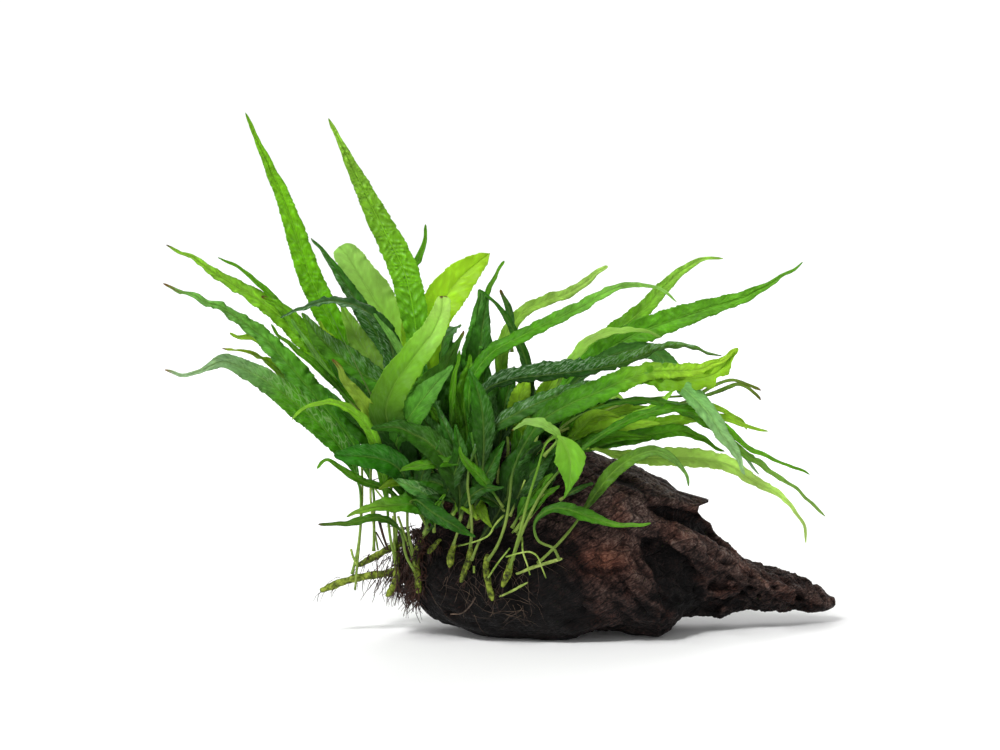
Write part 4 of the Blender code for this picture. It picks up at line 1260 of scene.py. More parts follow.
# Each row: name, width, look, stalk, route, and face and fold where they differ from most
SMALL_LEAVES = tuple(SmallLeaf(*row) for row in (
    ("short_dark_left", 6, MID, 12, ((-40, 78, 14), (-52, 90, 26), (-82, 127, 34), (-106, 158, 38),
        (-123, 176.5, 40), (-141, 187.5, 40))),
    ("edge_on_left", 8, OLIVE_TIP, 12, ((-50, 72, -4), (-60, 88, 6), (-80, 105, 10), (-99.5, 121, 12),
        (-121, 138, 12), (-139, 141.5, 12)), 60),
    ("small_yellow_left", 5, BRIGHT, 3, ((-100, 131, 16), (-110, 140, 20), (-122.5, 147, 20),
        (-130.5, 147, 20), (-135, 150, 20))),
    ("thin_top", 4.5, MID, 26, ((-40, 130, 18), (-44, 160, 18), (-44, 181, 18), (-41, 186.5, 18),
        (-38, 195, 18), (-37.5, 204, 18))),
    ("grey_underside_front", 8, GREY_UNDER, 3, ((-26, 58, -40), (-33, 66, -43), (-43, 72, -46),
        (-54, 76.5, -47))),
    ("thin_low_left", 4, MID, 8, ((-44, 60, -26), (-56, 71, -30), (-69, 75.5, -33), (-80, 82, -35),
        (-86.5, 86, -36), (-91, 81, -36))),
    ("mid_low_left", 7, MID, 9, ((-33, 50, -30), (-33, 64, -36), (-40, 76, -38), (-50, 79, -39),
        (-60, 72, -40))),
    ("small_bright_front", 6, BRIGHT, 12, ((-16, 52, -34), (-12, 66, -36), (-10, 62, -42),
        (-4.5, 52, -44))),
    ("small_folded_front", 6, BRIGHT, 3, ((-24, 58, -40), (-18.5, 64, -44), (-12, 56, -47))),
    ("dark_low_front", 8, DEEP, 5, ((-46, 64, -44), (-42, 66, -50), (-34, 60, -54), (-24, 54, -58),
        (-12, 48, -60))),
    ("wisp_high_right", 1.8, OLIVE, 60, ((30, 100, 0), (65, 115, -2), (100, 119.5, -4), (107.5, 123.5, -4),
        (116, 126, -4), (122.5, 124, -4), (130.5, 120.5, -4))),
    ("wisp_low_right", 2.2, OLIVE, 20, ((78, 111, 0), (102, 118, 0), (111, 121, 0), (119, 124, 0),
        (123.5, 122.5, 0), (130, 115.5, 0))),
    ("pinched_right", 6, BRIGHT, 30, ((24, 90, 24), (50, 100, 16), (87.5, 105.5, 8), (107.5, 108, 6),
        (123.5, 103, 5), (134, 100, 5))),
    ("dark_right_low", 7, MID, 20, ((22, 82, -32), (50, 93, -26), (79, 99.5, -22), (92, 100.5, -21),
        (112.5, 90.5, -22))),
    ("light_right", 4.5, BRIGHT, 30, ((30, 98, 14), (50, 105, 14), (85, 112, 14), (108, 112.5, 14),
        (115, 109.5, 14), (119, 107.5, 14), (123.5, 101, 14))),
    ("dark_bumpy_right", 6, DARK, 12, ((25, 100, 18), (50, 113, 18), (62.5, 114.5, 18), (75, 114.5, 18))),
    ("thin_centre", 3, MID, 14, ((-8, 140, 12), (-6, 170.5, 12), (-2, 178, 12), (1.5, 186, 12))),
    ("brown_tip_centre", 4, BROWN_TIP, 8, ((6, 140, 6), (5, 158.5, 6), (3.5, 164.5, 6), (0.5, 171.5, 6))),
    ("fill_left", 12, DARK, 12, ((-24, 68, -24), (-26, 84, -18), (-24, 105, -14), (-22, 125, -12),
        (-24, 145, -10))),
    ("fill_centre", 12, DARK, 12, ((-9, 58, -30), (-8, 70, -32), (-6, 88, -24), (-4, 108, -15),
        (-2, 130, -9))),
    ("fill_centre_right", 10, MID, 16, ((2, 66, -34), (6, 84, -30), (12, 102, -20), (14, 122, -8),
        (10, 138, -4))),
    ("fill_low_left", 11, MID, 14, ((-36, 52, -26), (-44, 66, -30), (-54, 84, -30), (-58, 104, -26))),
    ("fill_low_centre", 11, DARK, 10, ((-26, 54, -32), (-20, 70, -38), (-14, 86, -36), (-14, 104, -30))),
    ("fill_wood_right", 13, DARK, 8, ((10, 56, -42), (16, 68, -42), (23, 82, -40), (29, 94, -36))),
    ("fill_high_centre", 10, MID, 16, ((-10, 84, -6), (-14, 108, 4), (-12, 128, 8), (-6, 146, 8))),
    ("fill_high_right", 10, BRIGHT, 14, ((8, 90, -2), (16, 108, 6), (26, 124, 12), (34, 136, 14))),
    ("under_front", 14, GREY_SMOOTH, 22, ((-40, 70, -34), (-52, 92, -38), (-46, 106, -40), (-36, 120, -41),
        (-24, 134, -41))),
    ("upright_broad", 13, MID_DARK, 10, ((-17, 96, -14), (-13, 122, -9), (-9.5, 146, -7), (-7.5, 160, -6),
        (-7, 168, -6))),
    ("dark_cover", 11, DARK, 6, ((-9, 76, -46), (-8, 94, -47), (-9, 111, -46), (-12, 124, -44),
        (-15, 132, -43))),
    ("bright_slit", 3, MID, 6, ((-25, 92, -33), (-24, 112, -31), (-22.5, 128, -29), (-20.5, 141, -28))),
    ("centre_left_a", 13, DARK, 10, ((-20, 66, -36), (-22, 80, -39), (-32, 97, -39), (-43, 112, -38))),
    ("centre_left_b", 9, MID, 10, ((-18, 68, -36), (-22, 84, -37), (-29, 100, -36), (-36, 116, -35))),
    ("centre_left_c", 6, SHEEN, 8, ((-12, 66, -39), (-16, 80, -41), (-25, 98, -40), (-34, 116, -38))),
    ("centre_olive", 6, MID, 12, ((-17, 74, -32), (-20, 96, -29), (-23, 116, -27), (-24, 130, -25))),
    ("centre_mid", 11, MID, 12, ((-12, 70, -34), (-16, 96, -29), (-18, 118, -25), (-15, 139, -20))),
    ("centre_dark", 14, DARK, 12, ((-6, 66, -37), (-9, 92, -33), (-8, 116, -27), (-9, 141, -20))),
    ("centre_sheen", 11, DARK, 12, ((-1, 74, -33), (0, 96, -24), (3, 116, -19), (7, 133, -14))),
    ("centre_light", 12, BRIGHT, 10, ((5, 80, -26), (8, 98, -22), (10, 116, -20), (15, 132, -17))),
    ("frilly_low", 6, MID, 5, ((-12, 78, -41), (-22, 85, -44), (-38, 83.5, -46), (-53, 80, -46))),
    ("low_dark_a", 9, DARK, 6, ((-16, 62, -40), (-30, 74, -43), (-46, 77, -44))),
    ("low_dark_b", 7, DARK, 4, ((3, 60, -42), (-5, 66.5, -46), (-13, 68, -47))),
    ("low_dark_c", 8, DARK, 5, ((-18, 60, -42), (-26, 68, -42), (-36, 70, -43), (-46, 64, -43))),
    ("small_bright_left", 5, BRIGHT, 8, ((-38, 68, -38), (-50, 75.5, -42), (-61, 71.5, -42))),
    ("folded_stalk_like", 4.5, MID, 5, ((-38, 49, -42), (-35, 58, -44), (-27, 69, -44)), 20, 40),
    ("wood_dark_a", 12, DARK, 6, ((3, 60, -41), (5.5, 78, -43), (12, 89, -42), (20.5, 95.5, -38))),
    ("wood_mid_a", 12, DARK, 6, ((5, 58, -44), (14, 77, -45), (28.5, 92, -41))),
    ("wood_mid_b", 8, MID, 6, ((6, 52, -45), (14, 66, -46), (26, 80, -45))),
    ("wood_mid_c", 6, MID, 6, ((7.5, 50, -46), (20, 67, -47), (30, 73, -46))),
    ("wood_thin", 3, DARK, 4, ((30, 66, -48), (38, 71, -52), (47, 74, -52))),
    ("square_tip", 5.5, MID, 8, ((1.5, 62.5, -45), (-5, 72, -49), (-12, 80, -51), (-17, 86, -52),
        (-20, 93, -52))),
    ("fan_right_a", 9, YOUNG, 10, ((18, 82, -32), (32, 93, -29), (58, 103, -25), (80, 104, -22))),
    ("fan_right_b", 7, MID, 10, ((20, 78, -33), (36, 91, -31), (58, 98, -29), (76, 97, -28))),
    ("fan_right_c", 9, BRIGHT, 12, ((24, 86, -28), (38, 99, -29), (48, 108, -29), (60, 107, -29))),
    ("dark_low_left", 11, DARK, 14, ((-40, 72, -26), (-56, 88, -30), (-72, 104, -30), (-88, 122, -24))),
    ("left_mid_a", 12, MID, 14, ((-34, 60, -24), (-48, 80, -28), (-60, 96, -28), (-76, 108, -26))),
    ("left_mid_b", 12, MID, 14, ((-30, 62, -26), (-40, 86, -26), (-44, 106, -22), (-46, 128, -16))),
    ("left_dark_b", 12, DARK, 14, ((-26, 66, -22), (-34, 92, -18), (-34, 112, -12), (-38, 134, -6))),
    ("left_dark_c", 9, DARK, 10, ((-32, 64, -30), (-40, 80, -34), (-50, 96, -35), (-58, 112, -32))),
    ("torn_flap", 6.5, PALE_UNDER, 9, ((22, 88, -57), (29, 97.5, -60), (22, 103.5, -59), (14, 105, -57),
        (6, 100.5, -55)), 50),
    ("streaked_left", 15, STREAKED, 6, ((-46, 106, -16), (-58, 123, -10), (-67, 128, -8),
        (-78.5, 136.5, -6), (-88, 145.5, -6), (-99.5, 159.5, -6)), 20, 6),
    ("stripe_left", 2.6, PALE_LEFT, 3, ((-80, 126, -8), (-86.5, 131.5, -9), (-95, 143, -9),
        (-104, 157, -8))),
    ("net_between_left", 12, NETTED, 4, ((-52, 110, -6), (-60, 128, -3), (-68, 141, -2), (-76, 156, -1),
        (-80, 166, 0))),
    ("fill_gap_left", 13, MID, 8, ((-50, 106, 8), (-62, 126, 11), (-71, 143, 12), (-78, 160, 12))),
    ("pale_beside_arch", 4.2, PALE_LEFT, 4, ((-42, 128, -14), (-48, 137.5, -13), (-55, 149, -12),
        (-63, 159.5, -12))),
    ("bright_behind_tall", 7, BRIGHT, 8, ((-40, 118, 2), (-44, 138, 6), (-47, 151, 8), (-48, 163, 9))),
    ("slit_leaf_left", 3.6, MID, 8, ((-70, 110, -4), (-82.5, 123.5, -2), (-94, 135, -1), (-105, 143.5, 0),
        (-115, 153.5, 0))),
    ("fill_behind_left", 10, MID, 12, ((-44, 100, 18), (-56, 126, 22), (-64, 146, 25), (-72, 160, 27))),
    ("fill_behind_tall_left", 9, BRIGHT, 12, ((-60, 104, 12), (-74, 128, 14), (-84, 144, 15),
        (-90, 156, 15))),
    ("dark_mid_left", 5, DARK, 3, ((-60, 98, -32), (-70, 105, -33), (-80, 113.5, -34), (-86, 118, -34))),
    ("dark_beside_streak", 8, DARK, 4, ((-56, 106, -12), (-66, 116, -11), (-78, 127, -11),
        (-86, 136, -11))),
    ("dark_front_a", 9, DARK, 5, ((-30, 62, -40), (-24, 76, -44), (-20, 90, -45), (-22, 104, -44))),
    ("dark_front_b", 9, DARK, 5, ((-14, 58, -42), (-10, 72, -46), (-4, 84, -46), (2, 96, -43))),
    ("dark_front_c", 8, DARK, 5, ((-36, 60, -40), (-40, 72, -43), (-36, 86, -44), (-30, 96, -43))),
    ("dark_front_d", 7, DARK, 4, ((-20, 56, -42), (-16, 66, -47), (-8, 72, -50), (2, 72, -51))),
    ("torn_bright_flap", 15, TORN_YOUNG, 2, ((62, 124, -44), (72, 127.5, -46), (84, 127, -47),
        (97, 127, -48), (108, 130, -48), (119, 142, -48)), 20, 4),
    ("grey_front_right", 9, GREY_PALE, 1, ((76, 133, -42), (84, 127.5, -44), (93, 121, -51),
        (103, 111, -56), (111, 99, -58), (118, 88, -58), (122.5, 78.5, -58))),
    ("fill_left_high", 11, MID, 16, ((-34, 84, 0), (-48, 102, 4), (-60, 118, 6), (-66, 134, 6))),
))


@dataclass
class Fern(Plant):
    """All fronds and small leaves."""

    inner_count: int = 26
    inner_seed: int = 4242
    first_seed: int = 500  # the seed of the first small leaf

    def inner_leaves(self) -> list[SmallLeaf]:
        """Grow the short leaves that fill the crown behind the long ones.

        Returns:
            The leaves.
        """
        rng = np.random.default_rng(self.inner_seed)
        leaves = []
        for number in range(self.inner_count):
            turn = 2 * math.pi * (number + rng.uniform(-0.3, 0.3)) / self.inner_count
            reach = rng.uniform(52, 74)
            right, up, back = rng.uniform(-30, 30), rng.uniform(56, 70), rng.uniform(0, 20)
            up += 0.3 * right
            places = [(right, up, back)]
            for rise in (78, 66, 50, 34):
                level = math.cos(math.radians(rise)) * reach / 4
                right += level * math.cos(turn)
                back += level * (math.sin(turn) * 0.9 + 0.35)
                up += math.sin(math.radians(rise)) * reach / 4 * 0.85
                places.append((right, up, back))
            leaves.append(SmallLeaf(f"inner_{number:02d}", rng.uniform(8, 12),
                                    DARK if number % 3 else MID, 16, tuple(places),
                                    rng.uniform(0, 50)))
        return leaves

    def grow(self, name: str, strip: Strip, look: LeafLook, seed: int, slot: str,
             *nodes: str) -> None:
        """Make and dress one leaf, with a finish for its age.

        Args:
            name: the piece's name.
            strip: its way.
            look: how it looks.
            seed: the seed of its ruffles.
            slot: the record's material slot.
            nodes: the node that it replaces.
        """
        finish = Finish.YOUNG if look.young else Finish.WAXY
        dress(Frond(name, strip, look, seed).build(), finish, slot, *nodes)

    def build(self) -> None:
        """Make every leaf."""
        names = sorted(name for name in self.nodes if name.startswith("leaf_"))
        for seed, node in enumerate(names):
            name, slot = node.removeprefix("leaf_"), self.slots[node]
            look = LEAF_LOOKS.get(name, SLOT_LOOKS[slot])
            self.grow("frond_" + name, Strip.from_node(self.nodes[node]), look, seed, slot, node)
        for seed, leaf in enumerate((*SMALL_LEAVES, *self.inner_leaves()), self.first_seed):
            self.grow("short_" + leaf.name, Strip.from_route(leaf), leaf.look, seed, "leaf_mid")


def merged_copy(node: Obj, name: str) -> Obj:
    """Copy a plain solid with its points merged and its triangles paired into quads.

    Args:
        node: the solid.
        name: the copy's name.

    Returns:
        The copy.
    """
    mesh = bpy.data.meshes.new(name)
    bm = bmesh.new()
    bm.from_mesh(node.data)
    bmesh.ops.remove_doubles(bm, verts=bm.verts, dist=MERGE)
    bm.to_mesh(mesh)
    bm.free()
    obj = new_object(name, mesh)
    with edit_mode(obj):
        bpy.ops.mesh.tris_convert_to_quads(face_threshold=math.radians(60),
                                           shape_threshold=math.radians(60))
        bpy.ops.mesh.normals_make_consistent(inside=False)
    return obj


@dataclass
class Rhizomes(Plant):
    """The creeping stems and the two cut stalks."""

    levels: int = 3
    cut_kept: float = 0.66  # the share of its radius that a cut stalk keeps
    lump: tuple[float, float] = (2.6 * MM, 0.34 * MM)  # size and height
    wrinkle: tuple[float, float] = (0.9 * MM, 0.12 * MM)

    def slimmer(self, points: Rows) -> Rows:
        """Draw a cut stalk's points in towards its middle line.

        Args:
            points: its points.

        Returns:
            The points.
        """
        middle = points.mean(axis=0)
        run = np.linalg.svd(points - middle, full_matrices=False)[2][0]
        on_line = middle + ((points - middle) @ run)[:, None] * run
        return on_line + (points - on_line) * self.cut_kept

    def build(self) -> None:
        """Make every stem."""
        for name in sorted(n for n, slot in self.slots.items() if slot in ("rhizome", "stalk_pale")):
            obj = merged_copy(self.nodes[name], name.replace("rhizome", "stem") + "_skin")
            finish_modifier(obj, "SUBSURF", levels=self.levels, render_levels=self.levels)
            points, normals = points_of(obj), normals_of(obj)
            height = sum(high * lumps(points, size) for size, high in (self.lump, self.wrinkle))
            points += normals * height[:, None]
            cut = self.slots[name] == "stalk_pale"
            set_points(obj, self.slimmer(points) if cut else points)
            dress(obj, Finish.CUT if cut else Finish.RHIZOME, self.slots[name], name)


def gap_to_run(x: Rows, z: Rows, start: tuple, end: tuple) -> Rows:
    """Measure how far places lie from a straight run.

    Args:
        x: places to the right.
        z: places up.
        start: the run's start.
        end: its end.

    Returns:
        The distance of each place.
    """
    run = np.array([end[0] - start[0], end[1] - start[1]])
    share = ((x - start[0]) * run[0] + (z - start[1]) * run[1]) / (run @ run)
    share = np.clip(share, 0, 1)
    return np.hypot(x - start[0] - share * run[0], z - start[1] - share * run[1])


@dataclass(frozen=True)
class Form:
    """A ridge or a crack of the wood, along a line of (right, up) places in millimetres."""

    line: tuple
    half_width: float
    height: float

    def height_at(self, x: Rows, z: Rows) -> Rows:
        """Find how high it stands at places right of and above the origin, in millimetres."""
        gaps = [gap_to_run(x, z, a, b) for a, b in zip(self.line, self.line[1:])]
        return self.height * bell(np.min(gaps, axis=0), self.half_width)


@dataclass(frozen=True)
class Hollow:
    """A hollow of the wood inside an outline of (right, up) places in millimetres."""

    outline: tuple
    depth: float
    slope: float  # how far inside the outline its full depth is reached

    def depth_at(self, x: Rows, z: Rows) -> Rows:
        """Find how deep it is at each place.

        Args:
            x: millimetres right of the origin.
            z: millimetres above it.

        Returns:
            The depth in millimetres, nothing outside the outline.
        """
        inside = np.zeros(len(x), bool)
        nearest = np.full(len(x), 1e9)
        for (ax, az), (bx, bz) in zip(self.outline, (*self.outline[1:], self.outline[0])):
            nearest = np.minimum(nearest, gap_to_run(x, z, (ax, az), (bx, bz)))
            crosses = (az > z) != (bz > z)
            at = ax + (z - az) * (bx - ax) / ((bz - az) or 1e-9)
            inside ^= crosses & (x < at)
        share = np.clip(nearest / self.slope, 0, 1) * inside
        return self.depth * share * share * (3 - 2 * share)


@dataclass
class Driftwood(Plant):
    """The driftwood, with its grain, cracks, pits and rubbed ridges; its places are in mm."""

    levels: int = 3
    kept: float = 0.94  # share of the faces that is kept
    crease: float = 0.35  # how far the worn shape keeps to the plain solid's edges
    hollows: tuple[Hollow, ...] = (
        Hollow(((72, 69), (84, 67.5), (93, 65), (101, 61), (109, 58), (113, 50), (119, 41),
                (110, 44), (98, 53.5), (88, 59), (78, 63)), 4.5, 2.5),
        Hollow(((69, 54), (80, 53), (95, 42), (103, 29), (108, 21), (100, 13), (88, 14),
                (83, 9), (79, 22), (75, 36), (70, 46)), 4.2, 4.0),
        Hollow(((86, 14), (96, 19), (110, 19), (118, 17), (112, 9), (96, 9)), 3.0, 3.0),
    )
    forms: tuple[Form, ...] = (
        Form(((20, 92), (45, 84), (70, 74), (100, 66)), 2.2, 1.0),
        Form(((40, 84), (58, 78), (76, 71)), 0.9, -1.5),
        Form(((56, 66), (73, 62), (97.5, 50.5), (109.5, 43), (122, 29), (134, 24)), 2.6, 1.6),
        Form(((84, 54), (100, 46), (114, 36)), 0.8, -1.1),
        Form(((20, 74), (40, 66), (60, 60), (76, 50)), 1.2, -1.6),
        Form(((10, 60), (30, 52), (46, 40), (60, 26)), 1.2, -1.4),
        Form(((44, 55), (50, 51), (58, 50), (62, 53)), 1.0, -1.4),
        Form(((40, 40), (52, 37), (60, 41)), 1.0, -1.5),
        Form(((60, 44), (68, 33), (78, 22), (86, 12)), 1.6, 1.5),
        Form(((66, 46), (74, 34), (84, 22), (92, 13)), 1.2, -1.7),
        Form(((56, 40), (64, 28), (72, 16)), 1.1, -1.6),
        Form(((100, 26), (112, 23), (122, 24), (128, 22)), 1.4, -1.8),
        Form(((118, 32), (130, 27), (142, 23), (154, 19)), 1.4, 1.4),
        Form(((112, 36), (124, 30), (136, 26)), 0.9, -1.2),
    )
    warp_mm: tuple[float, float] = (19, 3.0)  # how long and how high the grain's waves are
    lump_mm: tuple[float, float] = (24, 11)  # size along and across the grain
    splinter_mm: tuple[float, float] = (17, 6.5)
    pit_mm: tuple[float, float] = (6.5, 4.2)
    crumb_mm: float = 3.2
    lump_high: float = 1.1
    splinter_high: float = 0.95
    crumb_high: float = 0.5
    foot_height: float = 4  # up to here the relief fades out, so that the foot stays flat
    flake_up: tuple[float, ...] = (48, 53, 56, 60, 63, 64.6, 66.5)  # heights as seen, and how
    flake_edge: tuple[float, ...] = (112.5, 107.5, 102.5, 99, 99.6, 104.5, 105.5)  # far it reaches
    lip_at: tuple[float, float] = (101, 67)  # where the flake's lip is drawn out
    lip_size: tuple[float, float] = (5, 4)
    lip_pull: Place = (6.0, 0.0, -2.0)
    red_at: tuple[float, float] = (50, 44)  # the middle of the reddish patch
    red_size: tuple[float, float] = (14, 8.5)

    def form_height(self, x: Rows, z: Rows) -> Rows:
        """Add up the ridges, cracks and hollows of the front.

        Args:
            x: millimetres right of the origin.
            z: millimetres above it.

        Returns:
            The height of each point in millimetres.
        """
        total = -sum(hollow.depth_at(x, z) for hollow in self.hollows)
        for form in self.forms:
            total = total + form.height_at(x, z)
        return total

    def relief(self, points: Rows) -> Rows:
        """Find how the wood's own grain raises each point.

        Args:
            points: the wood's points in metres.

        Returns:
            One row for each point: lumps, splintered ridges along the grain, crumbs, pits.
        """
        c, s = math.cos(GRAIN_TURN), math.sin(GRAIN_TURN)
        rows = []
        for x, y, z in points / MM:
            here = Vector((x, y, z))
            warp = self.warp_mm[1] * noise.noise(here / self.warp_mm[0])
            run, rise = c * x - s * z, s * x + c * z + warp
            lump, splinter, pit = (Vector((run / long, y / wide, rise / wide)) for long, wide in (
                self.lump_mm, self.splinter_mm, self.pit_mm))
            rows.append((noise.noise(lump),
                         noise.ridged_multi_fractal(splinter, 0.8, 2.2, 5, 1.0, 2.0),
                         noise.fractal(here / self.crumb_mm, 0.7, 2.1, 3), noise.noise(pit)))
        return np.array(rows)

    def pointed(self, points: Rows) -> Rows:
        """Draw the flake at the top right out to a thin point that hangs over.

        Args:
            points: the wood's points.

        Returns:
            The points.
        """
        x, y, z = points.T / MM
        up = 0.99 * z + 0.139 * y - 1.6  # the height that the viewer sees
        near = fade(x, 94, 4) * fade(up, 48, 3)
        edge = np.interp(up, self.flake_up, self.flake_edge)
        top = 72.5 - 0.289 * (x - 81.5)
        points[:, 0] -= near * np.maximum(x - edge, 0) * MM
        points[:, 2] -= fade(x, 84, 6) * np.maximum(up - top, 0) * MM
        return points

    def build(self) -> Obj:
        """Make the wood.

        Returns:
            Its object.
        """
        obj = merged_copy(self.nodes["driftwood"], "driftwood_bark")
        edges = obj.data.attributes.new("crease_edge", "FLOAT", "EDGE")
        edges.data.foreach_set("value", np.full(len(obj.data.edges), self.crease, np.float32))
        finish_modifier(obj, "SUBSURF", levels=self.levels, render_levels=self.levels)
        finish_modifier(obj, "DECIMATE", ratio=self.kept)
        points, normals = points_of(obj), normals_of(obj)
        x, z = points[:, 0] / MM, points[:, 2] / MM
        lump, splinter, crumb, pit = self.relief(points).T
        splinter = np.clip(splinter, 0, 3) - 1.1
        front = np.clip(-normals[:, 1] * 2.5, 0, 1)
        forms = self.form_height(x, z) * front
        # The tail is rougher, and the low left of the lump smoother
        tail = fade(x, 95, 30)
        smooth = np.clip((46 - x) / 30, 0, 0.6) * fade(z, 60, -25)
        rough = (0.8 + 0.45 * tail) * (1 - smooth)
        pits = -np.clip(pit - 0.14, 0, 1) * (2.6 + 4.5 * tail)
        height = (self.lump_high * lump + self.splinter_high * splinter * rough
                  + self.crumb_high * crumb * rough + pits + forms)
        # The thin end of the tail stays whole
        foot = np.clip(points[:, 2] / (self.foot_height * MM), 0.0, 1.0)
        thin = np.clip((172 - x) / 14, 0.25, 1)
        points = points + normals * (height * thin * MM * foot)[:, None]
        points += spot(x, z, self.lip_at, self.lip_size)[:, None] * np.array(self.lip_pull) * MM
        points = self.pointed(points)
        points[:, 2] = np.maximum(points[:, 2], 0.0)
        set_points(obj, points)
        # Painted shade darkens the low left under the leaves and the faces that look down, and painted
        # light lightens the upper right; raised grain and ridges are lighter, cracks and hollows darker
        under = np.clip(-normals[:, 2] * 1.5, 0, 1)
        shade = fade(x, 52, -30) * fade(z, 64, -25) * front
        red = spot(x, z, self.red_at, self.red_size)
        sunny = fade(x, 25, 30) * fade(z, 15, 30)
        wear_and_shade = 0.48 + 0.10 * (height - forms) + 0.12 * splinter
        wear_and_shade = wear_and_shade + np.where(forms > 0, 0.05, 0.11) * forms
        wear_and_shade = np.clip(wear_and_shade - 0.62 * shade - 0.25 * under + 0.09 * sunny + 0.12 * red, 0, 1)
        paint(obj, "wear_and_shade", wear_and_shade, red, np.clip(0.35 + 0.4 * splinter, 0, 1), 1.0)
        dress(obj, Finish.WOOD, "driftwood", "driftwood")
        return obj


@dataclass
class Fibres:
    """Thin tubes gathered into one mesh: hair roots and dead stalks."""

    sides: int = 4
    helper: Place = (0.31, 0.52, 0.79)  # a way that no tube runs
    points: list[Rows] = field(default_factory=list)
    faces: list[tuple[int, ...]] = field(default_factory=list)
    count: int = 0

    def add(self, line: Rows, thick: float, thin: float) -> None:
        """Add one tube.

        Args:
            line: its middle line, one point a row, in metres.
            thick: its radius at the start in metres.
            thin: its radius at the end in metres.
        """
        ahead = unit(np.gradient(line, axis=0))
        side = unit(np.cross(ahead, self.helper))
        over = np.cross(ahead, side)
        n, sides = len(line), range(self.sides)
        radius = np.linspace(thick, thin, n)[:, None]
        for k in sides:
            turn = 2 * math.pi * k / self.sides
            self.points.append(line + (side * math.cos(turn) + over * math.sin(turn)) * radius)
        rings = [[self.count + k * n + ring for k in sides] for ring in range(n)]
        for near, far in zip(rings, rings[1:]):
            for k in sides:
                after = (k + 1) % self.sides
                self.faces.append((near[k], near[after], far[after], far[k]))
        self.faces.extend((tuple(reversed(rings[0])), tuple(rings[-1])))
        self.count += n * self.sides

    def build(self, name: str) -> Obj:
        """Join the tubes.

        Args:
            name: the piece's name.

        Returns:
            Its object.
        """
        mesh = bpy.data.meshes.new(name)
        mesh.from_pydata(np.vstack(self.points).tolist(), [], self.faces)
        mesh.validate()
        return new_object(name, mesh)


